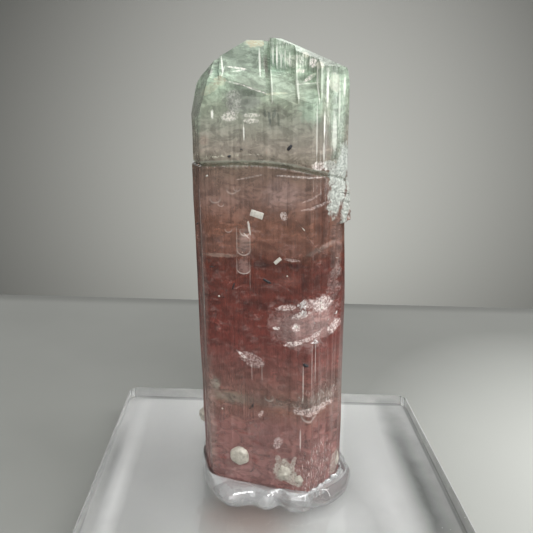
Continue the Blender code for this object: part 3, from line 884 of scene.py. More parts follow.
# Coloured places: the colour comes before the strength
COLOUR_FEATURES = (
    (1.2, 62.2, 4.2, 3.2, 0, (0.5, 0.345, 0.31), 0.8), (-5.7, 53.8, 1.3, 2.9, 0, (0.46, 0.33, 0.29), 0.7),
    (-5.8, 49.2, 1.35, 1.8, 0, (0.44, 0.27, 0.24), 0.8),
    (-2.4, 49.6, 2.1, 0.6, 3, (0.085, 0.014, 0.011), 0.95),
    (3.4, 49.8, 2.3, 0.7, -3, (0.075, 0.012, 0.01), 0.95),
    (8.6, 48.6, 2.4, 1.4, 8, (0.2, 0.05, 0.038), 0.7), (2.2, 43.2, 2.4, 0.6, -4, (0.09, 0.016, 0.012), 0.9),
    (-2.0, 41.7, 2.1, 0.8, 3, (0.12, 0.022, 0.017), 0.9),
    (-5.5, 41.6, 0.9, 1.3, 0, (0.11, 0.02, 0.015), 0.8),
    (-1.2, 36.6, 0.8, 1.1, 20, (0.15, 0.03, 0.024), 0.8),
    (-5.6, 37.0, 1.8, 2.2, 0, (0.22, 0.055, 0.045), 0.6),
    (4.7, 46.6, 0.8, 1.4, 0, (0.13, 0.028, 0.022), 0.8),
    (-8.0, 50.4, 1.0, 0.4, 25, (0.13, 0.028, 0.022), 0.8),
    (-11.0, 48.7, 1.5, 0.2, 4, (0.12, 0.025, 0.02), 0.8), (2.0, 46.9, 2.6, 1.4, 0, (0.34, 0.125, 0.1), 0.8),
    (5.4, 38.4, 7.6, 5.2, 8, (0.6, 0.385, 0.36), 0.85), (11.2, 53.0, 1.5, 8.0, 0, (0.32, 0.2, 0.17), 0.7),
    (8.2, 57.8, 1.8, 7.0, 0, (0.17, 0.07, 0.05), 0.8), (-13.7, 46.0, 1.2, 22.0, 0, (0.38, 0.23, 0.2), 0.65),
    (-10.2, 51.0, 3.9, 0.5, 0, (0.47, 0.33, 0.27), 0.75),
    (8.1, 52.6, 3.8, 0.6, 14, (0.46, 0.33, 0.28), 0.75), (-4.8, 55.8, 2.6, 0.3, -4, (0.5, 0.34, 0.29), 0.4),
    (-11.9, 25.0, 1.5, 1.6, 0, (0.52, 0.49, 0.41), 0.9),
    (-9.3, 22.6, 5.4, 1.8, -6, (0.34, 0.285, 0.23), 0.9),
    (-0.8, 22.2, 4.8, 1.0, 0, (0.36, 0.26, 0.22), 0.75), (7.6, 22.8, 5.0, 1.9, 0, (0.46, 0.35, 0.3), 0.75),
    (-6.4, 15.0, 3.6, 0.4, -12, (0.3, 0.095, 0.082), 0.8),
    (-4.2, 13.4, 2.4, 0.5, -28, (0.26, 0.075, 0.065), 0.85),
    (-0.6, 11.8, 1.6, 0.8, -50, (0.34, 0.13, 0.115), 0.7),
    (-10.8, 8.6, 1.1, 0.9, 0, (0.3, 0.085, 0.075), 0.8),
    (-4.4, 9.2, 0.9, 1.2, 30, (0.34, 0.12, 0.105), 0.8),
    (-13.2, 16.0, 1.6, 14.0, 0, (0.62, 0.44, 0.39), 0.75),
    (11.6, 17.0, 1.6, 8.0, 0, (0.42, 0.26, 0.235), 0.6),
    (-5.4, 77.8, 3.4, 2.6, -8, (0.44, 0.46, 0.42), 0.85),
    (-12.2, 71.2, 1.3, 1.1, 0, (0.56, 0.43, 0.36), 0.6), (6.0, 76.6, 2.4, 3.4, -8, (0.62, 0.8, 0.63), 0.75),
    (-0.6, 75.2, 3.0, 2.4, 0, (0.37, 0.375, 0.31), 0.75),
    # Painted shade: a dark line under the cross crack
    (3.8, 65.9, 2.8, 0.34, -4, (0.12, 0.075, 0.05), 0.9),
    (-1.7, 75.7, 0.3, 0.8, 5, (0.15, 0.18, 0.16), 0.55),
    (-1.0, 75.0, 0.26, 1.3, 10, (0.12, 0.15, 0.14), 0.6),
    (-0.2, 75.6, 0.34, 0.9, -12, (0.12, 0.15, 0.14), 0.55),
    (0.5, 74.7, 0.24, 1.2, 6, (0.16, 0.19, 0.16), 0.5),
    (-6.6, 84.6, 6.8, 5.4, 0, (0.265, 0.32, 0.26), 0.92),
    (8.0, 84.0, 5.0, 2.8, -25, (0.4, 0.47, 0.38), 0.88), (-13.6, 77.0, 1.4, 7.0, 0, (0.6, 0.7, 0.56), 0.7),
    (-9.5, 82.4, 0.22, 0.7, 10, (0.05, 0.08, 0.06), 0.9),
    (-10.7, 82.4, 0.7, 0.9, 0, (0.33, 0.33, 0.31), 0.8),
    (-9.8, 82.3, 0.9, 1.6, -20, (0.26, 0.36, 0.28), 0.7),
    (11.0, 75.0, 2.4, 9.0, 0, (0.62, 0.76, 0.62), 0.8), (0.4, 83.6, 2.0, 2.2, 0, (0.48, 0.68, 0.53), 0.6),
    (-0.5, 80.4, 8.5, 2.2, 0, (0.4, 0.47, 0.38), 0.8),
    (11.6, 84.0, 2.6, 1.6, -25, (0.32, 0.37, 0.31), 0.85), (-1.3, 84.0, 0.5, 2.4, 0, (0.5, 0.5, 0.44), 0.9),
)
# White veils inside the crystal, and painted highlights and glints at the cross crack and on the crest
WHITE_VEILS_AND_HIGHLIGHTS = (
    (8.3, 42.0, 1.9, 1.7, 10, 0.75), (5.6, 42.6, 1.5, 1.0, 24, 0.6), (4.4, 40.6, 1.9, 0.7, 20, 0.8),
    (1.8, 41.9, 1.8, 0.6, 12, 0.65), (3.4, 38.2, 0.9, 0.9, 0, 1.0), (-0.1, 37.7, 0.7, 0.35, 0, 0.9),
    (2.9, 34.9, 1.8, 0.5, 16, 0.8), (6.2, 36.2, 2.6, 0.45, 20, 0.6), (11.1, 36.8, 1.6, 1.1, 38, 0.8),
    (5.4, 38.8, 6.8, 4.4, 8, 0.1), (10.6, 44.0, 1.4, 1.6, -20, 0.22), (-6.5, 31.7, 1.3, 0.28, -42, 1.0),
    (-4.6, 30.9, 2.1, 1.2, -22, 0.42), (6.9, 21.0, 3.8, 0.8, 0, 0.55), (-3.1, 19.7, 0.35, 0.9, -30, 0.45),
    (0.1, 13.7, 0.7, 1.3, -20, 0.5), (10.8, 47.0, 1.0, 1.8, -38, 0.2), (1.3, 58.6, 0.6, 0.8, 15, 0.55),
    (2.8, 50.8, 1.4, 0.3, -5, 0.45), (6.9, 60.2, 2.8, 0.24, 12, 0.38), (5.8, 61.6, 1.8, 0.18, 24, 0.28),
    (4.4, 65.3, 3.8, 0.18, -3, 0.55), (-4.6, 65.1, 2.2, 0.14, 12, 0.3), (4.4, 82.4, 0.8, 0.45, 0, 1.0),
    (3.7, 84.0, 1.6, 0.9, -20, 0.5), (6.4, 83.7, 0.6, 0.8, 0, 1.0), (5.6, 80.4, 1.7, 0.14, 4, 0.5),
    (5.9, 81.3, 1.1, 0.32, 32, 0.9), (-3.3, 79.5, 2.1, 0.14, -20, 0.9), (-6.8, 80.6, 1.9, 0.12, -14, 0.6),
    (-6.4, 83.1, 1.5, 0.18, -8, 0.6), (-6.0, 82.6, 1.2, 0.16, 8, 0.45), (-6.9, 77.3, 1.1, 2.0, 0, 0.25),
    (-7.7, 75.2, 1.3, 0.8, 0, 0.65), (-3.9, 75.4, 1.2, 0.35, 0, 0.6), (-4.0, 74.5, 1.1, 0.4, 0, 0.65),
    (7.4, 67.0, 1.4, 0.7, -8, 0.8), (8.6, 66.6, 0.5, 0.5, 0, 1.0), (6.8, 67.4, 0.4, 0.4, 0, 1.0),
)
# Cream crusts, and cream highlights painted on the crest
CREAM_CRUSTS_AND_HIGHLIGHTS = (
    (-3.1, 87.8, 1.9, 1.0, -4, 1.0), (10.2, 80.4, 1.0, 1.4, 10, 0.65), (-10.6, 79.9, 2.3, 0.7, 28, 0.55),
    (-9.2, 80.9, 1.0, 0.9, 28, 0.8), (0.1, 78.8, 1.9, 0.22, 2, 0.5), (5.2, 85.0, 0.5, 0.5, 0, 0.7),
    (7.6, 83.2, 0.5, 0.6, 20, 0.8),
)
# Upright pale lines on ridges, growth steps and striations: painted highlights
HIGHLIGHT_LINES = (
    (-2.35, 84.2, 0.17, 2.6, 0, 0.6), (-0.1, 85.0, 0.12, 1.5, 0, 0.6), (0.55, 84.8, 0.17, 1.8, 0, 0.9),
    (1.25, 84.2, 0.11, 1.4, 0, 0.7), (1.95, 84.5, 0.13, 1.6, 0, 0.6), (2.7, 84.6, 0.11, 1.1, 0, 0.6),
    (-8.75, 83.6, 0.13, 1.4, 6, 0.55), (-8.6, 82.3, 0.1, 0.9, -14, 0.45), (3.75, 80.8, 0.22, 3.4, 0, 0.38),
    (7.6, 80.6, 0.22, 2.4, 0, 0.35), (-0.55, 80.6, 0.2, 3.2, 0, 0.28), (7.2, 80.3, 0.17, 3.2, 0, 0.85),
    (8.7, 79.4, 0.24, 3.1, 0, 0.85), (8.25, 73.5, 0.15, 2.8, 0, 0.95), (10.2, 72.0, 0.4, 3.1, 0, 0.5),
    (6.85, 72.5, 0.14, 4.8, 0, 0.45), (8.2, 69.3, 0.18, 1.7, 0, 0.6), (11.1, 77.0, 0.2, 3.2, 0, 0.5),
    (12.0, 80.0, 0.28, 1.8, 0, 0.7), (-10.6, 75.6, 0.26, 0.8, 0, 1.0), (-5.3, 72.6, 0.13, 1.4, 0, 0.8),
    (4.8, 26.8, 0.12, 3.6, 0, 0.42), (7.1, 31.0, 0.09, 4.4, 0, 0.35), (6.4, 30.0, 0.07, 4.4, 0, 0.25),
    (-4.7, 28.4, 0.07, 1.8, 0, 0.3), (-2.8, 28.2, 0.07, 1.6, 0, 0.3), (4.35, 15.0, 0.14, 2.6, 0, 0.5),
    (-13.4, 48.0, 0.09, 14.0, 0, 0.3), (-6.95, 53.8, 0.1, 2.2, 0, 0.22), (-4.6, 53.4, 0.1, 1.8, 0, 0.2),
    (-7.05, 49.0, 0.08, 1.6, 0, 0.2), (-4.7, 47.8, 0.08, 2.6, 0, 0.18), (-4.7, 56.2, 0.2, 1.3, 8, 0.6),
    (-5.2, 54.8, 0.13, 0.7, 45, 0.5),
)
# Painted highlights on the edges of hollows: the strength is followed by the line's width as a share of the
# half size
HOLLOW_RIM_HIGHLIGHTS = (
    (-5.75, 52.2, 1.15, 1.0, 0, 0.45, 0.2), (-5.45, 55.6, 0.9, 0.8, 0, 0.45, 0.24),
    (-5.85, 48.7, 1.2, 0.95, 0, 0.5, 0.18), (-7.6, 62.9, 0.85, 0.7, 0, 0.24, 0.3),
    (-6.7, 63.2, 0.6, 0.55, 0, 0.22, 0.3), (-10.6, 61.2, 0.9, 0.7, 0, 0.26, 0.3),
    (-9.6, 60.3, 0.5, 0.4, 0, 0.35, 0.28), (-8.4, 55.8, 0.6, 0.5, 0, 0.3, 0.28),
    (-1.5, 23.4, 0.8, 0.8, 0, 0.3, 0.28), (5.9, 20.4, 1.45, 1.5, 0, 0.42, 0.24),
    (3.6, 22.3, 0.6, 0.5, 0, 0.4, 0.28), (8.6, 21.3, 0.7, 0.6, 0, 0.4, 0.28),
)
# Frosted growths that stand on the surface
FROSTED_FEATURES = (
    (11.0, 61.8, 1.5, 4.0, -14, 0.9), (9.6, 66.8, 1.4, 0.8, -20, 0.6), (10.4, 65.0, 1.3, 1.5, -20, 0.8),
    (12.3, 67.0, 1.5, 3.4, 0, 1.0), (12.7, 59.0, 0.9, 2.6, -8, 0.9), (13.6, 62.4, 0.8, 5.4, 0, 0.8),
    (1.4, 7.4, 2.0, 2.4, 0, 0.75), (0.2, 9.8, 0.5, 1.4, 12, 0.5), (2.9, 9.6, 0.45, 1.5, -18, 0.5),
    (2.6, 5.6, 2.4, 0.9, -20, 0.7), (11.8, 6.2, 0.9, 2.6, -10, 0.4),
)
# Places where short upright streaks are painted pale: painted glints
PAINTED_GLINT_PLACES = (
    (8.0, 6.4, 5.4, 7.8, 0, 1.0), (8.2, 23.6, 4.8, 2.4, 0, 0.9), (2.4, 84.6, 4.2, 3.0, -20, 0.9),
    (7.4, 82.8, 3.6, 2.4, -25, 0.9), (10.6, 78.0, 2.6, 8.0, 0, 0.6),
)
TOP_GREEN_LEVEL = 76.0
HAZE_IN_GREEN = 0.56
HAZE_IN_PINK = 0.44


def each_feature(place, features):
    """Coordinates in which a feature's border lies at distance 1, and the rest of its row."""
    for x, level, half_width, half_height, turn, *rest in features:
        on_top = level > TOP_FROM_LEVEL
        local = place.moved((-x, -(TOP_DEPTH if on_top else FRONT_DEPTH), -level))
        if turn:
            local = local.turned(radians(turn))
        reach = TOP_REACH if on_top else FRONT_REACH
        yield local.stretched(1.0 / half_width, 1.0 / reach, 1.0 / half_height), rest


def highest_spot(place, features, raggedness, edge=0.35):
    """The strongest of several features at each place."""
    spots = ((local.covered(raggedness, edge) + SPOT_GROWTH / edge).lowest(strength)
             for local, (strength,) in each_feature(place, features))
    return reduce(Value.highest, spots).highest(0.0)


def rim_highlights(place, features, raggedness):
    """Painted highlights: thin pale lines along the features' borders, strongest at their undersides."""
    for local, (strength, width) in each_feature(place, features):
        off_border = (local.length() + raggedness - 1.0).size() * (1.0 / width)
        underside = (0.45 - local.axis("Z") * 0.7).lowest(1.0) * strength
        yield (1.0 - off_border).highest(0.0) * underside


def above_cross_crack(place, raggedness):
    """Signed height above the cross crack in millimetres."""
    x = place.axis("X") - CRACK_MIDDLE_X / MM
    fall = CRACK_FALL_LEFT + x.rise(-0.5, 0.5) * (CRACK_FALL_RIGHT - CRACK_FALL_LEFT)
    return place.axis("Z") - CRACK_LEVEL / MM + x * x * fall * MM + raggedness


# ---------------------------------------------------------------- finishes

def crystal_finish():
    """Clear and cloudy tourmaline, green to pink, with what is enclosed close under its front, and
    highlights, glints and crack shade painted on it.
    """
    finish = Finish("watermelon_tourmaline", in_crystal=True)
    place = finish.place
    x = place.axis("X")
    y = place.axis("Y")
    level = place.axis("Z")
    clouds = place.grain(0.16, 3.0, 0.55)
    specks = place.grain(0.9, 4.0, 0.7)
    crumbs = place.grain(2.6, 4.0, 0.7)
    streaks = place.stretched(1.5, 1.5, 0.035).grain(1.0, 3.0, 0.6)
    layers = place.stretched(0.10, 0.10, 0.9).grain(1.0, 3.0, 0.6, 0.6)

    # Colour zones and coloured places, with their borders made ragged
    bent = level + clouds.swing(2.6) + specks.swing(1.2)
    colour = (bent / TOP_OF_ZONES).ramp(*((at / TOP_OF_ZONES, tint) for at, tint in ZONES))
    ragged = specks.swing(1.3) + clouds.swing(0.8)
    for local, (tint, strength) in each_feature(place, COLOUR_FEATURES):
        colour = finish.blend(local.covered(ragged, 0.6).lowest(strength), colour, tint)

    # Light and dark from clouds, growth layers and lengthwise stripes
    right_front = x.rise(4.0, 7.0)
    stripes = (streaks - 0.5) * (0.18 + right_front * 0.55)
    pink_clouds = place.stretched(0.5, 0.5, 0.8).grain(1.0, 5.0, 0.75, 0.8).rise(0.50, 0.68)
    colour = finish.blend(pink_clouds * level.rise(64.0, 54.0) * 0.45, colour, (0.50, 0.33, 0.31))
    patches = place.stretched(0.30, 0.30, 0.55).grain(1.0, 4.0, 0.62, 1.2).rise(0.42, 0.58)
    middle_part = level.rise(34.0, 44.0) * level.rise(62.0, 52.0)
    layered = 0.12 + middle_part * 0.75
    shade = 0.76 + clouds.swing(0.3) + stripes + specks.swing(0.55) + (layers - 0.5) * layered
    shade = shade + patches * 0.40 + crumbs.swing(0.45)
    colour = finish.blend(1.0, colour, shade.highest(0.12).grey(), "MULTIPLY")

    # Painted shade just below the cross crack and a painted highlight just above it
    above_crack = above_cross_crack(place, specks.swing(0.7))
    front = y.rise(3.0, -3.0)
    painted_crack_shade = above_crack.rise(-0.60, -0.25) * above_crack.rise(0.12, -0.05) * front
    colour = finish.blend(painted_crack_shade * 0.75, colour, (0.11, 0.13, 0.09))
    painted_crack_highlight = above_crack.rise(0.02, 0.20) * above_crack.rise(0.70, 0.35) * front
    colour = finish.blend(painted_crack_highlight * 0.5, colour, (0.68, 0.74, 0.62))

    # White veils, cream crusts, and painted highlights and glints: pale lines, hollows' edges and short
    # streaks
    # Pale grains: painted glints in the veils, and grain in the crusts
    grain_and_painted_sparkle = crumbs.rise(0.44, 0.58)
    veils = highest_spot(place, WHITE_VEILS_AND_HIGHLIGHTS, ragged * 0.8)
    colour = finish.blend((veils * (0.30 + grain_and_painted_sparkle * 0.65)).clamped(), colour, (0.95, 0.87, 0.84))
    crusts = highest_spot(place, CREAM_CRUSTS_AND_HIGHLIGHTS, ragged * 1.3)
    crust_colour = finish.blend(x.rise(0.0, 8.0), (0.40, 0.355, 0.25), (0.68, 0.66, 0.56))
    colour = finish.blend((crusts * (0.55 + grain_and_painted_sparkle * 0.45)).clamped(), colour, crust_colour)
    broken = crumbs.swing(1.2) + specks.swing(0.6)
    lines = highest_spot(place, HIGHLIGHT_LINES, broken, 0.6)
    lines = lines.highest(reduce(Value.highest, rim_highlights(place, HOLLOW_RIM_HIGHLIGHTS, specks.swing(0.25))))
    short_streaks = place.stretched(5.5, 5.5, 0.9).grain(1.0, 3.0, 0.7)
    painted_glints = highest_spot(place, PAINTED_GLINT_PLACES, ragged * 0.6) * short_streaks.rise(0.55, 0.66)
    lines = lines.highest(painted_glints * 0.62).clamped()
    colour = finish.blend(lines, colour, (0.95, 0.94, 0.88))

    # Frost that stands on the surface
    frost = highest_spot(place, FROSTED_FEATURES, place.grain(0.75, 4.0, 0.65).swing(1.6))

    roughness = 0.05 + y.rise(-5.0, 4.0) * 0.27 + specks.swing(0.08)
    fine_lines = place.stretched(3.2, 3.2, 0.03).grain(1.0, 3.0, 0.65)
    normal = (fine_lines * (0.35 + right_front * 0.65)).relief(0.35, 0.10 * MM)
    clear = finish.surface(Base_Color=colour, Roughness=roughness.clamped(), IOR=1.63,
                           Transmission_Weight=1.0, Normal=normal)
    milky = finish.surface(Base_Color=colour, Roughness=0.25, IOR=1.63, Normal=normal)
    green = level.rise(TOP_GREEN_LEVEL - 6.0, TOP_GREEN_LEVEL + 6.0)
    haze = HAZE_IN_PINK + green * (HAZE_IN_GREEN - HAZE_IN_PINK) + clouds.swing(0.5)
    haze = haze + (layers - 0.5) * (0.10 + middle_part * 0.3)
    haze = haze + veils * (0.2 + grain_and_painted_sparkle * 0.5) + crusts * 0.6 + lines * 0.6
    body = finish.mixed(haze.clamped(), clear, milky)

    high_up = level.rise(30.0, 50.0)
    deep = finish.blend(high_up, (0.36, 0.31, 0.26), (0.30, 0.34, 0.31))
    pale = finish.blend(high_up, (0.64, 0.61, 0.54), (0.66, 0.69, 0.64))
    white = finish.blend(crumbs.rise(0.36, 0.60), deep, pale)
    frosted = finish.surface(Base_Color=white, Roughness=0.35, IOR=1.55, Normal=crumbs.relief(0.9, 0.35 * MM))
    return finish.done(finish.mixed((frost * (0.5 + crumbs)).clamped(), body, frosted))


def grained_finish(name, scale, detail, stops, roughness, variation, **constants):
    """A small piece's finish: one grain varies its colour and its roughness."""
    finish = Finish(name, in_crystal=True)
    grain = finish.place.grain(scale, detail, 0.6)
    return finish.done(finish.surface(Base_Color=grain.ramp(*stops), Roughness=roughness + grain * variation,
                                      **constants))


def bubble_finish():
    return grained_finish("bright_bubbles", 2.0, 2.0, ((0.3, (0.80, 0.72, 0.68)), (0.7, (0.98, 0.96, 0.93))),
                          0.08, 0.1, IOR=0.66, Transmission_Weight=0.7)


def speck_finish():
    stops = ((0.3, (0.008, 0.008, 0.010)), (0.7, (0.035, 0.035, 0.040)))
    return grained_finish("dark_specks", 5.0, 2.0, stops, 0.4, 0.2, IOR=1.5)


def plate_finish():
    stops = ((0.3, (0.42, 0.38, 0.34)), (0.6, (0.62, 0.60, 0.54)))
    return grained_finish("pale_plates", 2.5, 3.0, stops, 0.25, 0.1, IOR=1.5)


def pale_crystal_finish():
    """Cloudy white of the small grown crystals."""
    finish = Finish("pale_grown_crystal", in_crystal=True)
    grain = finish.place.grain(1.4, 4.0, 0.6)
    colour = grain.ramp((0.25, (0.32, 0.29, 0.245)), (0.5, (0.54, 0.50, 0.43)), (0.75, (0.74, 0.71, 0.62)))
    normal = finish.place.grain(3.0, 3.0, 0.6).relief(0.5, 0.15 * MM)
    return finish.done(finish.surface(Base_Color=colour, Roughness=0.25 + grain * 0.2, IOR=1.55,
                                      Transmission_Weight=0.15, Normal=normal))


def veil_finish():
    """Silvery film of a healed crack, with holes: it mirrors light as an air gap in the crystal does."""
    finish = Finish("silvery_veil", in_crystal=True)
    place = finish.place
    holes = place.grain(1.1, 5.0, 0.72, 0.4)
    grains = place.grain(4.0, 2.0, 0.6)
    colour = grains.ramp((0.3, (0.80, 0.74, 0.72)), (0.6, (1.0, 0.98, 0.97)))
    normal = place.grain(3.0, 3.0, 0.65).relief(0.8, 0.30 * MM)
    return finish.done(finish.surface(Base_Color=colour, Metallic=1.0, Roughness=0.34 + grains * 0.16,
                                      Alpha=holes.rise(0.46, 0.56) * 0.66, Normal=normal))


def hollow_finish():
    """Gas in a hollow: it bends light the other way from the crystal round it, and its rim is silvery."""
    finish = Finish("hollow_in_crystal", in_crystal=True)
    dust = finish.place.grain(2.0, 3.0, 0.6)
    colour = dust.ramp((0.3, (0.92, 0.88, 0.85)), (0.7, (1.0, 0.99, 0.98)))
    gas = finish.surface(Base_Color=colour, Roughness=0.03 + dust * 0.06, IOR=0.66, Transmission_Weight=1.0)
    silver = finish.surface(Base_Color=colour, Roughness=0.25 + dust * 0.1, IOR=1.5)
    rim = finish.node("ShaderNodeLayerWeight", {}, {"Blend": 0.35}, "Facing")
    return finish.done(finish.mixed((rim * 0.8 + dust.rise(0.5, 0.7) * 0.25).clamped(), gas, silver))


def gel_finish():
    """Clear gel with a cloudy share, cloudier to the left, under a glossy skin."""
    finish = Finish("clear_gel")
    place = finish.place
    clouds = place.grain(0.35, 3.0, 0.6)
    frosted = (place.axis("X") + clouds.swing(6.0)).rise(10.0, 0.0)
    skin = {"IOR": 1.41, "Coat_Weight": 1.0, "Coat_IOR": 1.7, "Coat_Roughness": 0.11,
            "Normal": place.grain(1.2, 3.0, 0.55).relief(0.12, 0.08 * MM)}
    clear = finish.surface(Base_Color=clouds.ramp((0.3, (0.96, 0.96, 0.97)), (0.7, (1.0, 1.0, 1.0))),
                           Roughness=0.03 + clouds * 0.05, Transmission_Weight=1.0, **skin)
    milky = finish.surface(Base_Color=clouds.ramp((0.3, (0.64, 0.65, 0.655)), (0.7, (0.80, 0.81, 0.81))),
                           Roughness=0.25, Transmission_Weight=0.35, **skin)
    return finish.done(finish.mixed(0.28 + frosted * 0.24, clear, milky))


def acrylic_finish():
    """Clear acrylic with fine wear, and a soft film on its underside and edges painted with light and shade:
    lighter towards the back, painted streaks and a pool of light, painted shade and a painted pink reflection
    of the crystal.
    """
    finish = Finish("clear_acrylic")
    place = finish.place
    x = place.axis("X")
    y = place.axis("Y")
    height = place.axis("Z")
    wear = place.grain(0.12, 3.0, 0.6)
    scratched = place.stretched(0.9, 0.08, 0.9).cells(1.0, "DISTANCE_TO_EDGE").rise(0.012, 0.0)
    scratched = scratched * wear.rise(0.45, 0.65)
    dust = place.cells(0.55).rise(0.09, 0.03) * place.grain(0.2, 2.0).rise(0.50, 0.60)
    colour = finish.blend(dust, (0.990, 0.996, 0.993), (0.80, 0.80, 0.78))
    roughness = 0.025 + wear * 0.05 + scratched * 0.10 + dust * 0.3
    clear = finish.surface(Base_Color=colour, Roughness=roughness.clamped(), IOR=1.49,
                           Transmission_Weight=1.0)

    uneven = wear.swing(0.7)
    # Painted shade: a dark band on the right and a shaded corner on the left
    painted_shadow_band = place.spot((32.4, 0.0, 0.0), (4.8, 60.0, 8.0), wear.swing(0.5), 0.9)
    painted_shade_corner = place.spot((-36.6, 10.0, 0.0), (1.7, 18.0, 8.0), uneven, 1.0)
    # A painted pink reflection of the crystal in front of the gel
    painted_pink_reflection = place.spot((-5.5, -7.5, 0.0), (12.0, 8.5, 8.0), uneven, 0.8)
    # Painted light: streaks along the left and right, and a pool in front of the crystal
    painted_light_left = place.spot((-33.5, 2.0, 0.0), (2.6, 46.0, 8.0), uneven, 0.9)
    painted_light_right = place.spot((24.5, -4.0, 0.0), (8.0, 34.0, 8.0), uneven, 0.9)
    painted_light_pool = place.spot((13.0, -9.0, 0.0), (14.0, 12.0, 8.0), uneven, 0.9)
    streaks = painted_light_left.highest(painted_light_right).highest(painted_light_pool)
    half = SLAB_HALF / MM
    outside = x.size().highest(y.size())
    # Painted shade along the lower edge, used on the left only
    painted_rim_shade = outside.rise(half - 1.1, half - 0.7) * height.rise(0.9, 0.4)
    # The film's colour is painted light and shade: lighter towards the back, with the painted marks above
    # laid over it
    film = finish.blend((y + wear.swing(12.0)).rise(-12.0, 34.0), (0.66, 0.665, 0.65), (0.93, 0.935, 0.92))
    for share, tint in (
        (painted_shadow_band * 0.95, (0.22, 0.23, 0.22)),
        # painted shade towards the left
        (x.rise(-16.0, -28.0) * 0.25, (0.30, 0.305, 0.30)),
        (streaks * 0.9, (0.99, 0.99, 0.98)),
        (painted_shade_corner * 0.7, (0.30, 0.31, 0.30)),
        (painted_pink_reflection * 0.85, (0.60, 0.475, 0.43)),
        (painted_rim_shade * x.rise(-38.0, -30.0) * 0.55, (0.24, 0.25, 0.24)),
    ):
        film = finish.blend(share, film, tint)
    # The painted film shows on the underside, less of it to the right, and on the edges, where it paints them
    # light
    underside = height.rise(0.25, 0.05) * (0.92 - x.rise(22.0, 38.0) * 0.10)
    edge = outside.rise(half - 0.5, half - 0.2) * (0.36 + wear * 0.4)
    painted_layer = finish.surface(Base_Color=film, Roughness=0.5, IOR=1.49)
    return finish.done(finish.mixed(underside.highest(edge), clear, painted_layer))


def floor_finish():
    """Pale table top, with a painted pool of light to the right, painted shade towards its back edge and a
    painted shadow line along that edge.
    """
    finish = Finish("pale_table")
    place = finish.place
    colour = place.grain(0.02, 3.0).ramp((0.3, (0.235, 0.239, 0.225)), (0.7, (0.258, 0.263, 0.247)))
    painted_table_light = place.spot((105.0, 0.0, 0.0), (85.0, 110.0, 8.0), 0.0, 0.8)
    colour = finish.blend(painted_table_light, colour, (0.58, 0.59, 0.56))
    back = place.axis("Y") - place.axis("X") * tan(radians(TABLE_TURN))
    # Painted shade: darker towards the back, and a painted shadow line at the back edge
    for near, far, share in ((10.0, 110.0, 0.16), (125.0, 133.0, 0.28)):
        colour = finish.blend(back.rise(near, far) * share, colour, (0.0, 0.0, 0.0))
    return finish.done(finish.surface(Base_Color=colour, Roughness=0.8, IOR=1.3))


def backdrop_finish():
    finish = Finish("grey_backdrop")
    # A painted pool of light on the backdrop, which is dark away from it
    bright = finish.place.spot((76.0, 620.0, -104.0), (600.0, 4000.0, 450.0), 0.0, 1.0)
    colour = finish.blend(bright, (0.060, 0.060, 0.056), (0.40, 0.40, 0.375))
    return finish.done(finish.surface(Base_Color=colour, Roughness=0.9, IOR=1.3))


# ---------------------------------------------------------------- stage, light and camera

TABLE_DROP = 0.15 * MM
TABLE_BACK_EDGE = 134.3 * MM
TABLE_TURN = 1.9
FLOOR_HALF = 900.0 * MM
BACKDROP_AT = 620.0 * MM
BOARD_THICKNESS = 4.0 * MM
# Soft lights: place, the point that each is turned to, width and height in metres, power, spread
CRYSTAL_MIDDLE = (0.0, 0.0, 0.05)
LIGHTS = {
    "overhead_softbox": ((0.36, -0.10, 0.58), CRYSTAL_MIDDLE, (0.34, 0.45), 2.9, 180.0),
    "front_fill": ((-0.12, -0.62, 0.36), CRYSTAL_MIDDLE, (0.60, 0.40), 1.5, 180.0),
    "right_strip": ((0.42, -0.26, 0.10), CRYSTAL_MIDDLE, (0.04, 0.55), 0.5, 180.0),
    "gel_highlight_strip": ((0.06, -0.34, 0.52), CRYSTAL_MIDDLE, (0.26, 0.13), 1.8, 180.0),
    "rear_panel": ((-0.09, 0.50, 0.42), (-0.09, 0.0, 0.01), (0.50, 0.36), 0.65, 180.0),
    "backdrop_light": ((0.05, 0.30, 0.75), (0.05, 0.62, -0.05), (0.50, 0.20), 2.25, 70.0),
}
ROOM_LIGHT = (0.40, 0.405, 0.39, 1.0)


def add_board(name, low, high, material, turn=0.0):
    """A flat board of the set between two opposite corners, turned about the origin."""
    bm = block_between(Vector(low), Vector(high))
    bmesh.ops.rotate(bm, cent=(0.0, 0.0, 0.0), matrix=Matrix.Rotation(radians(turn), 3, "Z"),
                     verts=bm.verts[:])
    board = new_object(name, bm, material)


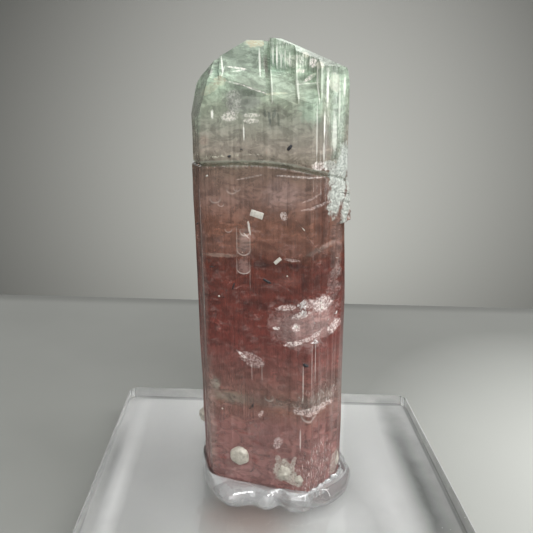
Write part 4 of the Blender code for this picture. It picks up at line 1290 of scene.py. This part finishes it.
def add_stage():
    add_board("table_top", (-FLOOR_HALF, -FLOOR_HALF, -TABLE_DROP - BOARD_THICKNESS),
              (FLOOR_HALF, TABLE_BACK_EDGE, -TABLE_DROP), floor_finish(), TABLE_TURN)
    add_board("backdrop", (-1.6, BACKDROP_AT, -0.9), (1.6, BACKDROP_AT + BOARD_THICKNESS, 1.1),
              backdrop_finish())


def add_lights():
    for name, (place, target, size, power, spread) in LIGHTS.items():
        data = bpy.data.lights.new(name, "AREA")
        data.shape = "RECTANGLE"
        data.size, data.size_y = size
        data.energy = power
        data.spread = radians(spread)
        light = bpy.data.objects.new(name, data)
        light.location = Vector(place)
        light.rotation_euler = (Vector(target) - Vector(place)).to_track_quat("-Z", "Y").to_euler()
        light.visible_camera = False
        bpy.context.scene.collection.objects.link(light)
    world = bpy.data.worlds.new("grey_room")
    world.use_nodes = True
    background = world.node_tree.nodes["Background"]
    background.inputs["Color"].default_value = ROOM_LIGHT
    background.inputs["Strength"].default_value = 1.0
    bpy.context.scene.world = world


def add_camera():
    right = Vector((cos(CAMERA_YAW), -sin(CAMERA_YAW), 0.0))
    level_forward = Vector((sin(CAMERA_YAW), cos(CAMERA_YAW), 0.0))
    forward = level_forward * cos(CAMERA_PITCH) - Vector((0.0, 0.0, sin(CAMERA_PITCH)))
    up = right.cross(forward)
    side = right * cos(CAMERA_ROLL) + up * sin(CAMERA_ROLL)
    top = up * cos(CAMERA_ROLL) - right * sin(CAMERA_ROLL)
    data = bpy.data.cameras.new("camera")
    data.sensor_width = SENSOR_WIDTH
    data.lens = SENSOR_WIDTH * FOCAL_PIXELS / FRAME_PIXELS
    data.clip_start = 5.0 * MM
    camera = bpy.data.objects.new("camera", data)
    turn = Matrix((side, top, -forward)).transposed().to_4x4()
    camera.matrix_world = Matrix.Translation(CAMERA_PLACE) @ turn
    bpy.context.scene.collection.objects.link(camera)
    bpy.context.scene.camera = camera


bpy.context.scene.view_settings.view_transform = "Standard"
add_camera()
build_crystal(crystal_finish())
pale_crystal = pale_crystal_finish()
build_hexagon(pale_crystal)
build_lumps(pale_crystal)
build_veils(veil_finish())
build_tubes(hollow_finish())
build_specks(speck_finish())
plates = plate_finish()
build_plates(plates)
build_fibres(plates)
build_bubbles(bubble_finish())
build_gel(gel_finish())
build_slab(acrylic_finish())
add_stage()
add_lights()
